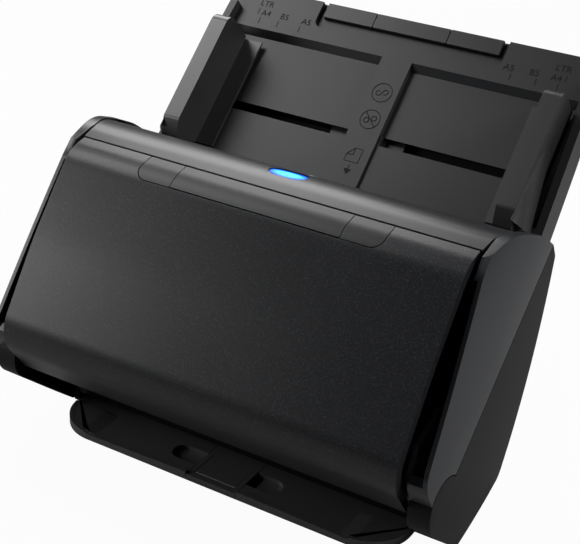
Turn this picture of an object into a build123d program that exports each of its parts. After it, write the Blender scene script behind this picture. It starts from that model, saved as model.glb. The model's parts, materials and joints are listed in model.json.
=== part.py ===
"""A4 document scanner with a straight, slanted paper path and a hinged front unit.

Millimetres. X runs across the width, Y from the front to the back, Z up from the table.
The side view is drawn with the paper path: a point of it is (s, h), s up along the sheet
from the foot of the feed tray and h away from the sheet, towards the front.
"""
import math
import os

from build123d import *

# Overall sizes
body_width = 291.0          # over the bulge of the side covers
cover_width = 258.0         # over the front cover
inner_width = 256.0         # between the side covers, where the tray and the frames lie
path_tilt = 43.0            # slope of the paper path and the feed tray
path_foot = (125.0, 153.0)  # y, z where the tray leaves the body

# Walls and clearances
wall = 2.6
seam_gap = 0.6
slide_gap = 0.4
sheet_gap = 0.5             # each side of the sheet
shaft_gap = 0.05            # radial, running fit

# Front cover outline in the side view
cover_top = (35.0, 178.2)
cover_brow = (20.5, 175.6)
cover_belly = (-50.0, 80.0)
cover_foot = (-28.0, 50.0)
brow_radius = 25.0
belly_radius = 22.0
cover_wall = 3.0
cover_depth = 15.0          # of the band behind the face
cover_end = 6.5             # how far the end walls return
cover_crown = 2.5           # bow of the face

# Control panel at the top of the front cover
panel_width = 160.0
lever_width = 110.0
panel_height = 16.0
panel_corner = 7.0
panel_gap = 0.45
lever_gap = 0.75            # under the release lever, which swings towards it
button_travel = 1.0
lever_pin = 1.3             # radius

# Top cover behind the front cover
strip_rear = (77.0, 172.0)
crown_point = (56.0, 183.2)
crown_radius = 42.0
power_button_length = 24.0
power_button_width = 13.0
power_button_place = 57.0   # y of its middle
power_travel = 0.8
mouth_nip = -28.0           # s where the mouth's front wall meets the sheet

# Side covers
hinge_y = -17.0
hinge_z = 54.0
knuckle_radius = 17.0
cover_sweep = 15.0          # room under the hinge for the cover's foot as it opens
seam_top = (103.0, 158.5)
front_edge_setback = 5.5
channel_depth = 13.0        # dark channel between the front cover and a side panel
side_inner = 132.0          # inner faces of the front side panels
front_bulge_radius = 205.0
rear_bulge_radius = 620.0
base_clear = 3.0
base_front = 16.0
base_rear = 92.0
back_top = (109.0, 149.0)

# Feed tray
tray_half_neck = 127.4       # between the side covers
tray_half_foot = 133.0       # just above them
tray_half_top = 128.0
tray_neck = -6.0             # s where it widens
tray_top = 115.0            # s of its upper edge
tray_foot = -36.0
tray_thick = 14.0
tray_skin = 2.0
tray_corner = 13.0
band_edge = 86.0            # s where the recess ends and the printed band starts
recess_depth = 4.0
recess_slope = 4.5          # run of the recess's sloping upper wall
lower_recess = 1.8
slot_low = 27.0
slot_high = 34.0
slot_inner = 12.0
strip_half = 10.4
rim_height = 6.0
rim_width = 5.0

# Document guides
guide_inner = 108.5         # inner face at rest, for the widest paper
guide_thick = 11.5
guide_height = 29.0
guide_low = -3.0
guide_high = 78.0
guide_foot = 13.0
guide_nose = 9.0            # how far the lower end reaches past the foot
flare_reach = 7.0           # of the outer flare at its lower end
flare_high = 45.0           # s where the flare runs out
guide_travel = 78.0
rack_module = 0.8
pinion_teeth = 12

# Tray extension
grip_outer = 62.0
grip_inner = 26.0
grip_length = 10.5
grip_well_depth = 3.2
grip_well_corner = 5.0
tongue_half = 26.0
tip_tongue_half = 14.0
tongue_foot = 6.0
extension_travel = 96.0
tip_travel = 84.0

# Eject tray
eject_half = 118.0
eject_front = -19.0
eject_rear = 82.0
eject_floor = 5.9
eject_thick = 4.0
eject_corner = 27.0
lip_height = 1.4
deck_thick = 1.6            # deck over the eject tray
eject_travel = 84.0
stopper_half = 17.3
window_half = 38.0
window_low = -8.0
window_high = 6.0

# Rollers, all with their tops at the sheet
roller_radius = 9.0
shaft_radius = 3.0
pinch_radius = 6.0
pinch_shaft_radius = 2.0
feed_s = -55.0
roller_tyre_length = 24.0
gear_module = 1.0
roller_teeth = 16
first_idler_teeth = 24
second_idler_teeth = 36
motor_teeth = 12
gear_width = 5.0
gear_sink = 1.0             # idler tips below the sheet
gear_x = -118.5             # middle of the gear plane
plate_x = 122.5             # middle of the steel side plates
plate_thick = 1.6
frame_half = 124.3          # ends of the front frame
bush_flange = 1.2

tyre_places = (-70.0, -24.0, 24.0, 70.0)

# Scan units
scan_length = 20.0
scan_half = 110.0
scan_deep = 26.0
glass_thick = 1.5

# Rear services
inlet_x = -92.0
usb_x = -62.0
port_z = 22.0
foot_radius = 7.0

tilt_cos = math.cos(math.radians(path_tilt))
tilt_sin = math.sin(math.radians(path_tilt))
sheet_plane = Plane(
    origin=(0, path_foot[0], path_foot[1]),
    x_dir=(1, 0, 0),
    z_dir=(0, -tilt_sin, tilt_cos),
)

roller_h = -roller_radius - sheet_gap / 2
pinch_h = pinch_radius + sheet_gap / 2


def centre_distance(teeth_a, teeth_b, module=gear_module):
    """Between the centres of two meshed gears."""
    return module * (teeth_a + teeth_b) / 2


def idler_depth(teeth):
    """Height of an idler whose tips stay under the sheet."""
    return -(teeth / 2 + 1) * gear_module - gear_sink


def idler_step(teeth):
    """Distance along the sheet from a roller gear to the idler it meshes with."""
    drop = idler_depth(teeth) - roller_h
    return math.sqrt(centre_distance(roller_teeth, teeth) ** 2 - drop ** 2)


first_idler_s = feed_s - idler_step(first_idler_teeth)
middle_s = first_idler_s - idler_step(first_idler_teeth)
second_idler_s = middle_s - idler_step(second_idler_teeth)
exit_s = second_idler_s - idler_step(second_idler_teeth)
scan_low = second_idler_s - scan_length / 2
scan_high = second_idler_s + scan_length / 2
motor_s = second_idler_s
motor_h = idler_depth(second_idler_teeth) - centre_distance(second_idler_teeth, motor_teeth)

pieces = {}


def on_path(s, h):
    """Side view point (y, z) at s along the sheet and h in front of it."""
    y = path_foot[0] + s * tilt_cos - h * tilt_sin
    z = path_foot[1] + s * tilt_sin + h * tilt_cos
    return (y, z)


def outline(points):
    """Closed outline through (y, z) points; a third number rounds that corner."""
    shape = make_face(Polyline(*[(p[0], p[1]) for p in points], close=True))
    for point in points:
        if len(point) == 3:
            corner = shape.vertices().sort_by_distance((point[0], point[1], 0))[0]
            shape = fillet(corner, point[2])
    return shape


def slab(shape, x_low, x_high):
    """A side view outline given thickness across the width."""
    return extrude(Plane.YZ.offset(x_low) * shape, amount=x_high - x_low)


def path_box(s_low, s_high, h_low, h_high, x_low, x_high):
    """A block square to the sheet."""
    block = Box(x_high - x_low, s_high - s_low, h_high - h_low)
    middle = Pos((x_low + x_high) / 2, (s_low + s_high) / 2, (h_low + h_high) / 2)
    return sheet_plane * middle * block


def block(x_low, x_high, y_low, y_high, z_low, z_high):
    """A block square to the table."""
    middle = Pos((x_low + x_high) / 2, (y_low + y_high) / 2, (z_low + z_high) / 2)
    return middle * Box(x_high - x_low, y_high - y_low, z_high - z_low)


def across(y, z, radius, x_low, x_high):
    """A round bar along the width."""
    bar = Cylinder(radius, x_high - x_low, rotation=(0, 90, 0))
    return Pos((x_low + x_high) / 2, y, z) * bar


def both_sides(shape):
    """A shape with its mirror image across the middle."""
    return shape + mirror(shape, about=Plane.YZ)


def keep(name, shape):
    """Store one named piece."""
    pieces[name] = shape


# Side view outlines

def cover_outline():
    """The front unit's outer outline: brow, bowed face, belly and foot."""
    face_middle_y = (cover_brow[0] + cover_belly[0]) / 2
    face_middle_z = (cover_brow[1] + cover_belly[1]) / 2
    face_length = math.dist(cover_brow, cover_belly)
    out_y = -(cover_brow[1] - cover_belly[1]) / face_length
    out_z = (cover_brow[0] - cover_belly[0]) / face_length
    bow = (
        face_middle_y + cover_crown * out_y,
        face_middle_z + cover_crown * out_z,
        face_length * 2.5,
    )
    back_low = on_path(exit_s - roller_radius, 2 * sheet_gap)
    back_high = on_path(mouth_nip, 2 * sheet_gap)
    return outline([
        cover_top,
        (*cover_brow, brow_radius),
        bow,
        (*cover_belly, belly_radius),
        cover_foot,
        back_low,
        back_high,
        (strip_rear[0], strip_rear[1] + 1),
    ])


def face_band(depth, extra=0.0):
    """The part of the side view that lies within a depth of the front face."""
    length = math.dist(cover_brow, cover_belly)
    in_y = (cover_brow[1] - cover_belly[1]) / length
    in_z = -(cover_brow[0] - cover_belly[0]) / length
    low = (cover_foot[0] + 1.0, cover_foot[1] - 12)
    return outline([
        (cover_top[0], cover_top[1] + 12),
        (cover_belly[0] - 40, cover_top[1] + 12),
        (cover_belly[0] - 40, low[1]),
        low,
        (cover_foot[0] + extra, cover_foot[1] + 6),
        (cover_belly[0] + in_y * (depth + 8), cover_belly[1] + in_z * (depth + 8) + 18),
        (cover_brow[0] + in_y * depth, cover_brow[1] + in_z * depth),
        (cover_top[0], cover_top[1] - depth * 0.6),
    ])


def front_shell(inset=0.0):
    """The front unit's volume over the cover's width, drawn in by an inset."""
    shape = cover_outline()
    if inset:
        shape = offset(shape, -inset)
    return slab(shape, -cover_width / 2 + inset, cover_width / 2 - inset)


def panel_window(gap=0.0):
    """The space of the control panel at the top of the front cover."""
    length = math.dist(cover_brow, cover_belly)
    down_y = (cover_belly[0] - cover_brow[0]) / length
    down_z = (cover_belly[1] - cover_brow[1]) / length
    out_y, out_z = down_z, -down_y
    foot_y = cover_top[0] - panel_height * 0.72 + gap * down_y * -1
    foot_z = cover_top[1] - panel_height * 0.72 + gap * down_z * -1
    reach = 30.0
    side = outline([
        (foot_y - out_y * 12, foot_z - out_z * 12),
        (foot_y + out_y * reach, foot_z + out_z * reach),
        (cover_top[0] + 8, cover_top[1] + reach),
        (cover_top[0] + 8, foot_z - out_z * 12),
    ])
    half = panel_width / 2 - gap
    window = slab(side, -half, half)
    lower_corners = window.edges().filter_by(
        lambda e: e.length > 12 + reach - 1
        and abs(abs(e.center().X) - half) < 0.01
        and abs((e % 0.5).dot(Vector(0, out_y, out_z))) > 0.999
    )
    return fillet(lower_corners, panel_corner)


def top_plan():
    """Plan of the top cover, which flares between the side panels."""
    half = cover_width / 2 + 0.6
    points = [
        (half, cover_top[0] - 1),
        (half + 1.2, cover_top[0] + 12),
        (half + 5.0, cover_top[0] + 27),
        (half + 8.0, strip_rear[0] + 3),
        (inner_width / 2, strip_rear[0] + 3),
        (inner_width / 2, path_foot[0]),
    ]
    loop = points + [(-x, y) for x, y in reversed(points)]
    return make_face(Polyline(*loop, close=True))


def top_outline(drop=0.0):
    """Side view of the top cover: crown, rear edge and the wall down to the feed nip."""
    nip = on_path(mouth_nip, 2.5)
    deeper = 0.0 if not drop else 40.0
    return outline([
        (cover_top[0] + seam_gap * 2 + drop, cover_top[1] - 10 - deeper),
        (cover_top[0] + seam_gap * 2 + drop, cover_top[1] + 0.4 - drop),
        (*crown_point[:1], crown_point[1] - drop * 1.2, crown_radius - 4 * drop),
        (strip_rear[0] - drop, strip_rear[1] + 1.0 - drop, 5.0 if not drop else 3.0),
        (nip[0] - drop * 1.2, nip[1] - drop * 0.5),
        (nip[0] - 3 - drop * 1.2, nip[1] - 2 - deeper),
    ])


def seam_line(shift=0.0):
    """Two points of the seam between the front unit and the body, moved across it."""
    run_y = seam_top[0] - hinge_y - 8
    run_z = seam_top[1] - hinge_z - 10
    length = math.hypot(run_y, run_z)
    across_y, across_z = -run_z / length * shift, run_y / length * shift
    low = (hinge_y + 8 + across_y, hinge_z + 10 + across_z)
    high = (seam_top[0] + across_y, seam_top[1] + across_z)
    return low, high


def front_side_outline():
    """Side view of a front side panel."""
    low, high = seam_line(seam_gap)
    setback = front_edge_setback
    return outline([
        (cover_top[0] - 4.0, cover_top[1] - 0.5),
        (*crown_point, crown_radius),
        (86.0, 171.0, 60.0),
        high,
        low,
        (hinge_y, hinge_z),
        (hinge_y - 2, hinge_z - 8),
        (cover_foot[0] - 2, cover_foot[1] + 8, 5.0),
        (cover_belly[0] + 9.5, cover_belly[1] - 2, 16.0),
        (cover_brow[0] + setback * 0.5, cover_brow[1] - setback * 1.2, 9.0),
    ])


def channel_outline():
    """Side view of the open channel behind a front side panel's front edge."""
    length = math.dist(cover_brow, cover_belly)
    in_y = (cover_brow[1] - cover_belly[1]) / length * channel_depth
    in_z = -(cover_brow[0] - cover_belly[0]) / length * channel_depth
    return outline([
        (cover_belly[0] - 20, cover_brow[1] - 8),
        (cover_brow[0] + in_y, cover_brow[1] - 8),
        (cover_brow[0] + in_y, cover_brow[1] + in_z - 4),
        (cover_belly[0] + in_y, cover_belly[1] + in_z + 2),
        (cover_belly[0] - 20, cover_belly[1] - 12),
    ])


def rear_side_outline():
    """Side view of a rear side cover, without its knuckle."""
    low, high = seam_line(0.0)
    return outline([
        high,
        (*back_top, 4.0),
        (base_rear, base_clear, 6.0),
        (base_front, base_clear, 8.0),
        (hinge_y - knuckle_radius * 0.72, hinge_z - knuckle_radius * 0.70),
        (hinge_y, hinge_z),
        low,
    ])


def bulge(radius_front, radius_rear, inset=0.0):
    """The volume under the curved outside of the right side, along the seam."""
    low, high = seam_line(0.0)
    run = Vector(0, high[0] - low[0], high[1] - low[1]).normalized()
    reach = 150.0
    top = body_width / 2 - inset
    seam_plane = Plane(origin=(0, low[0], low[1]), x_dir=(1, 0, 0), z_dir=run)
    front_drop = radius_front - math.sqrt(radius_front ** 2 - reach ** 2)
    rear_drop = radius_rear - math.sqrt(radius_rear ** 2 - reach ** 2)
    front_mid = radius_front - math.sqrt(radius_front ** 2 - (reach / 2) ** 2)
    rear_mid = radius_rear - math.sqrt(radius_rear ** 2 - (reach / 2) ** 2)
    front_sign = 1.0 if seam_plane.y_dir.Z > 0 else -1.0
    front_end = (top - front_drop, reach * front_sign)
    rear_end = (top - rear_drop, -reach * front_sign)
    section = make_face(
        ThreePointArc((top, 0), (top - front_mid, reach / 2 * front_sign), front_end)
        + Line(front_end, (0, front_end[1]))
        + Line((0, front_end[1]), (0, rear_end[1]))
        + Line((0, rear_end[1]), rear_end)
        + ThreePointArc(rear_end, (top - rear_mid, -reach / 2 * front_sign), (top, 0))
    )
    return extrude(seam_plane * section, amount=300, both=True)


# Front unit

def make_front_cover():
    """Bowed front shell with returned end walls and the panel window."""
    shell = front_shell() - front_shell(cover_wall)
    shell = shell & slab(face_band(cover_depth), -cover_width, cover_width)
    behind = slab(offset(cover_outline(), -cover_end), -cover_width, cover_width)
    keep("front_cover", shell - panel_window() - behind)


def panel_shell():
    """The skin of the control panel, before it is parted."""
    skin = front_shell() - front_shell(cover_wall)
    skin = skin & slab(face_band(cover_depth), -cover_width, cover_width)
    return skin & panel_window(panel_gap)


def panel_press():
    """Unit direction (y, z) in which the panel's keys are pressed."""
    length = math.dist(cover_brow, cover_belly)
    return ((cover_brow[1] - cover_belly[1]) / length, -(cover_brow[0] - cover_belly[0]) / length)


def lever_pivot():
    """Side view point (y, z) that the release lever swings about."""
    return (cover_top[0] - 2.2, cover_top[1] - 3.4)


def make_panel():
    """The release lever in the middle and a key at each side."""
    skin = panel_shell()
    tall = 400.0
    lever_half = lever_width / 2
    lever = skin & block(-lever_half, lever_half, -tall, tall, 0, tall) & panel_window(lever_gap)
    right = skin & block(lever_half + panel_gap, tall, -tall, tall, 0, tall)
    stem_y, stem_z = cover_top[0] - 8.2, cover_top[1] - 13.6
    stem = outline([
        (stem_y - 1.0, stem_z + 9),
        (stem_y + 5.0, stem_z + 9.8),
        (stem_y + 5.0, stem_z + 1.2),
        (stem_y - 1.0, stem_z + 1.2),
    ])
    key_middle = (lever_half + panel_width / 2) / 2
    right = right + slab(stem, key_middle - 4, key_middle + 4)
    lever = lever + both_sides(slab(stem, lever_half - 18, lever_half - 12))
    lever = lever + across(*lever_pivot(), lever_pin, -lever_half + 3, lever_half - 3)
    keep("release_lever", lever)
    keep("right_key", right)
    keep("left_key", mirror(right, about=Plane.YZ))


def top_solid(drop=0.0):
    """The top cover's volume, drawn in by a wall."""
    prism = extrude(Pos(0, 0, 60) * top_plan(), amount=160)
    if drop:
        prism = extrude(Pos(0, 0, 60) * offset(top_plan(), -drop, kind=Kind.INTERSECTION), amount=160)
    return slab(top_outline(drop), -160, 160) & prism


def power_recess(length, width, depth_low, depth_high):
    """An upright oval block at the power button's place."""
    oval = SlotOverall(length, width)
    return extrude(Pos(0, power_button_place, depth_low) * oval, amount=depth_high - depth_low)


def make_top_cover():
    """Crowned strip with the feed mouth's front wall and the power button's well."""
    cover = top_solid() - top_solid(wall)
    well = power_recess(power_button_length + 4, power_button_width + 4, 172, 181.0)
    dish = power_recess(power_button_length + 4, power_button_width + 3, 181.6, 200)
    cover = cover + (well & top_solid()) - dish
    hole = power_recess(power_button_length + 2 * slide_gap, power_button_width + 2 * slide_gap, 150, 200)
    keep("top_cover", cover - hole)
    button = power_recess(power_button_length, power_button_width, 170.5, 200) & top_solid(0.6)
    flange = power_recess(power_button_length + 3, power_button_width + 3, 168.5, 170.6)
    keep("power_button", button + flange)


def make_front_sides():
    """Left and right front side panels, bulging towards the seam."""
    shape = slab(front_side_outline(), side_inner, 150) & bulge(front_bulge_radius, front_bulge_radius)
    inner = slab(offset(front_side_outline(), -wall), 120, 150)
    inner = inner & bulge(front_bulge_radius, front_bulge_radius, wall)
    channel = slab(channel_outline(), 120, 150) & bulge(front_bulge_radius, front_bulge_radius, wall)
    panel = shape - inner - channel
    panel = panel - across(hinge_y, hinge_z, knuckle_radius + seam_gap, 0, 200)
    plan = extrude(Pos(0, 0, 60) * offset(top_plan(), seam_gap, kind=Kind.INTERSECTION), amount=160)
    panel = panel - (plan & slab(outline([(30, 120), (30, 200), (80, 200), (80, 120)]), -160, 160))
    keep("right_front_side", panel)
    keep("left_front_side", mirror(panel, about=Plane.YZ))


def make_front_frame():
    """Moulded box behind the cover that carries the pinch rollers and the scan unit."""
    inset = cover_wall + slide_gap
    half = frame_half
    outer = slab(offset(cover_outline(), -inset), -half, half)
    inner = slab(offset(cover_outline(), -inset - wall), -half + wall, half - wall)
    frame = outer - inner
    ears = path_box(exit_s - 8, feed_s + 9, 3.0, inset + 8, half - wall, half)
    frame = frame + both_sides(ears)
    frame = frame - path_box(scan_low - 1, scan_high + 1, 0, 40, -scan_half - 1, scan_half + 1)
    for s in (feed_s, middle_s, exit_s):
        reach = pinch_radius + 1.0
        frame = frame - path_box(s - reach, s + reach, 0, pinch_h + reach, -half + wall, half - wall)
        y, z = on_path(s, pinch_h)
        frame = frame - across(y, z, pinch_shaft_radius + shaft_gap, -half - 1, half + 1)
    opening = outline([(6, 150), (6, 190), (70, 190), (70, 165), (44, 158), (30, 150)])
    frame = frame - slab(opening, -panel_width / 2 - 2, panel_width / 2 + 2)
    lip = outline([
        (cover_top[0] - 2, cover_top[1] - 14),
        (cover_top[0] - 2, cover_top[1] + 5),
        (cover_top[0] + 8, cover_top[1] + 5),
        (cover_top[0] + 8, cover_top[1] - 14),
    ])
    room = slab(offset(top_outline(), slide_gap), -half - 1, half + 1)
    room = room - slab(top_outline(wall + slide_gap), -half - 1, half + 1)
    keep("front_frame", frame - slab(lip, -half - 1, half + 1) - room)


def make_front_arms():
    """Hinge arms from the front frame to the knuckles, one at each side."""
    low = seam_line(seam_gap)[0]
    half = frame_half
    arm = outline([
        (hinge_y - 9, hinge_z - 2, 4.0),
        (hinge_y - 9, hinge_z + 9, 4.0),
        (hinge_y + 2, hinge_z + 30),
        (low[0] + 20, low[1] + 30),
        (low[0] + 6, low[1] + 2),
        (hinge_y + 9, hinge_z - 6, 4.0),
        (hinge_y, hinge_z - 9, 4.0),
    ])
    solid = slab(arm, half + 0.1, half + 3.0)
    solid = solid - across(hinge_y, hinge_z, 4.0 + shaft_gap, 0, 200)
    keep("hinge_arms", both_sides(solid))


def roller_slots(h_low, h_high, radius, margin):
    """Openings for every tyre, as blocks square to the sheet."""
    slots = None
    for s in (feed_s, middle_s, exit_s):
        for x in tyre_places:
            half = roller_tyre_length / 2 + margin
            slot = path_box(s - radius - margin, s + radius + margin, h_low, h_high, x - half, x + half)
            slots = slot if slots is None else slots + slot
    return slots


def make_front_guide():
    """Sheet guide on the front unit's side of the path."""
    plate = path_box(exit_s - 7, mouth_nip - 2, 2 * sheet_gap, 2 * sheet_gap + 1.2, -118, 118)
    plate = plate - roller_slots(0, 4, pinch_radius - 1.0, 1.0)
    window = path_box(scan_low - slide_gap, scan_high + slide_gap, 0, 4, -scan_half - 1, scan_half + 1)
    keep("front_guide_plate", plate - window)


def make_scan_unit(name, sign):
    """A contact image sensor housing with its glass, on one side of the sheet."""
    low = sheet_gap * sign
    deep = (sheet_gap + scan_deep) * sign
    glass_low = (sheet_gap + glass_thick) * sign
    housing = path_box(scan_low, scan_high, min(low, deep), max(low, deep), -scan_half, scan_half)
    glass = path_box(scan_low + 3, scan_high - 3, min(low, glass_low), max(low, glass_low),
                     -scan_half + 4, scan_half - 4)
    ends = path_box(scan_low + 4, scan_high - 4, min(deep, deep - 6 * sign), max(deep, deep - 6 * sign),
                    -scan_half + 12, scan_half - 12)
    keep(name + "_scan_unit", housing - glass - ends)
    keep(name + "_scan_glass", glass)


def make_pinch_roller(name, s):
    """A driven sheet's counter roller: a thin shaft with short tyres."""
    half = frame_half
    y, z = on_path(s, pinch_h)
    shaft = across(y, z, pinch_shaft_radius, -half + 0.2, half - 0.2)
    tyres = None
    for x in tyre_places:
        tyre = across(y, z, pinch_radius, x - roller_tyre_length / 2, x + roller_tyre_length / 2)
        tyre = tyre - across(y, z, pinch_shaft_radius, x - 30, x + 30)
        tyres = tyre if tyres is None else tyres + tyre
    keep(name + "_shaft", shaft)
    keep(name + "_tyres", tyres)


def make_front_board():
    """Small circuit board behind the panel, with a switch under each key."""
    y, z = cover_top[0] + 1.0, cover_top[1] - 16.0
    tilt = Plane(origin=(0, y, z), x_dir=(1, 0, 0), z_dir=(0, panel_press()[0], panel_press()[1]))
    board = tilt * Pos(0, 0, 1.0) * Box(panel_width - 6, 12, 1.6)
    keep("operation_board", board)


# Gears and driven rollers

def gear_face(teeth, module, phase):
    """Toothed outline with straight flanks; phase is the angle of one tooth."""
    radius = teeth * module / 2
    root = radius - 1.25 * module
    tip = radius + 0.95 * module
    root_half = 0.93 * module / root
    tip_half = 0.36 * module / tip
    points = []
    for tooth in range(teeth):
        middle = phase + 2 * math.pi * tooth / teeth
        for reach, turn in ((root, -root_half), (tip, -tip_half), (tip, tip_half), (root, root_half)):
            points.append((reach * math.cos(middle + turn), reach * math.sin(middle + turn)))
    return make_face(Polyline(*points, close=True))


def meshed_phase(centre_a, teeth_a, phase_a, centre_b, teeth_b):
    """Phase that puts gear b in mesh with gear a."""
    line = math.atan2(centre_b[1] - centre_a[1], centre_b[0] - centre_a[0])
    pitch = 2 * math.pi / teeth_a
    return line + math.pi + (pitch / 2 - (phase_a - line)) * teeth_a / teeth_b


def gear_train():
    """Centre, teeth and phase of each gear from the feed roller down to the motor."""
    places = [
        ("feed", on_path(feed_s, roller_h), roller_teeth),
        ("first_idler", on_path(first_idler_s, idler_depth(first_idler_teeth)), first_idler_teeth),
        ("middle", on_path(middle_s, roller_h), roller_teeth),
        ("second_idler", on_path(second_idler_s, idler_depth(second_idler_teeth)), second_idler_teeth),
        ("exit", on_path(exit_s, roller_h), roller_teeth),
    ]
    train = {}
    phase = 0.0
    before = None
    for name, centre, teeth in places:
        if before is not None:
            phase = meshed_phase(before[0], before[1], phase, centre, teeth)
        train[name] = (centre, teeth, phase)
        before = (centre, teeth)
    idler = train["second_idler"]
    centre = on_path(motor_s, motor_h)
    train["motor"] = (centre, motor_teeth, meshed_phase(*idler, centre, motor_teeth))
    return train


def make_gear(train, name, bore):
    """One spur gear in the gear plane."""
    centre, teeth, phase = train[name]
    low = gear_x - gear_width / 2
    blank = extrude(Plane.YZ.offset(low) * Pos(*centre) * gear_face(teeth, gear_module, phase), amount=gear_width)
    hub = across(*centre, bore + 2.2, low, low + gear_width + 2.5)
    gear = blank + hub
    if teeth >= first_idler_teeth:
        web = teeth * gear_module / 2 - 3.4
        ring = across(*centre, web, low - 1, low + 1.2) - across(*centre, bore + 2.2, low - 1, low + 1.2)
        gear = gear - ring
    return gear - across(*centre, bore, low - 1, low + gear_width + 4)


def make_driven_roller(train, name, s):
    """Steel shaft with rubber tyres and its gear."""
    y, z = on_path(s, roller_h)
    reach = plate_x + plate_thick / 2 + bush_flange + 0.6
    shaft = across(y, z, shaft_radius, -reach, reach)
    groove = across(y, z, shaft_radius + 1, reach - 0.4, reach - 0.1)
    groove = groove - across(y, z, shaft_radius - 0.5, reach - 0.5, reach)
    tyres = None
    for x in tyre_places:
        low, high = x - roller_tyre_length / 2, x + roller_tyre_length / 2
        tyre = across(y, z, roller_radius, low, high) - across(y, z, shaft_radius, low - 1, high + 1)
        tyres = tyre if tyres is None else tyres + tyre
    keep(name + "_roller_shaft", shaft - groove)
    keep(name + "_roller_tyres", tyres)
    keep(name + "_roller_gear", make_gear(train, name, shaft_radius))


def plate_outline():
    """Side view of a steel side plate."""
    upper = on_path(feed_s + 12, -1.6)
    lower = on_path(exit_s - 13, -1.6)
    return outline([
        lower,
        upper,
        (upper[0] + 2.0, upper[1] - 10),
        (base_rear - 6, 40),
        (base_rear - 9, deck_bottom() + deck_thick),
        (base_front + 26, deck_bottom() + deck_thick),
        (lower[0] - 6, lower[1] - 16, 6.0),
    ])


def make_side_plates(train):
    """Steel plates that carry the driven rollers, and their bushes."""
    low, high = plate_x - plate_thick / 2, plate_x + plate_thick / 2
    plate = slab(plate_outline(), low, high)
    bush_radius = shaft_radius + 2.0
    bushes = None
    for s in (feed_s, middle_s, exit_s):
        y, z = on_path(s, roller_h)
        plate = plate - across(y, z, bush_radius, low - 1, high + 1)
        bush = across(y, z, bush_radius, low - 0.3, high)
        bush = bush + across(y, z, bush_radius + 1.4, high, high + bush_flange)
        bush = bush - across(y, z, shaft_radius + shaft_gap, low - 1, high + 3)
        bushes = bush if bushes is None else bushes + bush
    left = mirror(plate, about=Plane.YZ)
    studs = None
    for name in ("first_idler", "second_idler"):
        centre = train[name][0]
        stud = across(*centre, 2.5, -low, gear_x + gear_width / 2 + 3.0)
        stud = stud + across(*centre, 4.0, gear_x + gear_width / 2 + 3.0, gear_x + gear_width / 2 + 4.0)
        studs = stud if studs is None else studs + stud
    left = left - across(*on_path(motor_s, motor_h), 6.0, -high - 1, -low + 1)
    keep("right_side_plate", plate)
    keep("left_side_plate", left)
    keep("idler_studs", studs)
    keep("roller_bushes", both_sides(bushes))


def make_idlers(train):
    """The two idler gears, which turn on studs."""
    for name in ("first_idler", "second_idler"):
        keep(name + "_gear", make_gear(train, name, 2.5 + shaft_gap))


def make_motor(train):
    """Drive motor with its pinion."""
    centre = train["motor"][0]
    front = gear_x + gear_width / 2 + 5.0
    can = across(*centre, 14.0, front, front + 36)
    can = can + across(*centre, 5.0, front - 1.6, front)
    can = can - across(*centre, 1.6, front - 3, front + 2)
    flange = slab(outline([
        (centre[0] - 9, centre[1] - 21, 4.0),
        (centre[0] + 9, centre[1] - 21, 4.0),
        (centre[0] + 9, centre[1] + 12, 4.0),
        (centre[0] - 9, centre[1] + 12, 4.0),
    ]), front, front + 1.6)
    keep("drive_motor", can + (flange - across(*centre, 13.0, 0 - 200, 200)))
    shaft = across(*centre, 1.0, gear_x - gear_width / 2, front + 1)
    keep("motor_pinion", make_gear(train, "motor", 0.8) + shaft)


# Body of the machine

def make_rear_sides():
    """Left and right rear side covers with the hinge knuckles."""
    inner_face = inner_width / 2 + 0.6
    shape = slab(rear_side_outline(), inner_face, 150) + across(hinge_y, hinge_z, knuckle_radius, inner_face + 3.4, 150)
    shape = shape & bulge(front_bulge_radius, rear_bulge_radius)
    hollow = slab(offset(rear_side_outline(), -wall), inner_face - 1, 150)
    hollow = hollow & bulge(front_bulge_radius, rear_bulge_radius, wall)
    side = shape - hollow
    side = side - slab(outline([
        (hinge_y - 30, hinge_z - cover_sweep),
        (hinge_y - 30, hinge_z + 30),
        (hinge_y + 30, hinge_z + 30),
        (hinge_y + 14, hinge_z - cover_sweep),
    ]), inner_face - 1, inner_face + 3.4)
    pin = across(hinge_y, hinge_z, 4.0, frame_half + 0.2, inner_face + 6)
    side = side - pin
    keep("right_rear_side", side)
    keep("left_rear_side", mirror(side, about=Plane.YZ))
    keep("hinge_pins", both_sides(pin))


def back_line(z, inset=0.0):
    """Y of the back at a height."""
    share = (z - base_clear) / (back_top[1] - base_clear)
    return base_rear + (back_top[0] - base_rear) * share - inset


def deck_bottom():
    """Height of the deck over the eject tray."""
    return eject_floor + eject_thick + lip_height + slide_gap


def make_base_pan():
    """Floor with low walls, the eject tray's channel and bosses for the feet."""
    half = inner_width / 2
    floor_top = base_clear + wall
    pan = block(-half, half, base_front, base_rear - 2, base_clear, floor_top)
    side = block(half - wall, half, base_front, base_rear - 2, floor_top, 16)
    back = block(-half, half, base_rear - 2 - wall, base_rear - 2, floor_top, 16)
    roof_low = deck_bottom()
    apron_top = on_path(exit_s - 20, -2.2)
    apron = slab(outline([
        (base_front - 2, roof_low),
        (base_front - 6, roof_low + 8),
        (apron_top[0] + 3, apron_top[1] - 3),
        (apron_top[0] + 5, apron_top[1] - 3),
        (base_front - 3.5, roof_low + 8),
        (base_front + 0.5, roof_low + 1.6),
        (base_front + 24, roof_low + 1.6),
        (base_front + 24, roof_low),
    ]), -plate_x + 1.5, plate_x - 1.5)
    deck = block(-half + wall / 2, half - wall / 2, base_front, base_rear - 3, roof_low, roof_low + deck_thick)
    keep("base_pan", pan + both_sides(side) + back + apron + deck)


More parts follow.
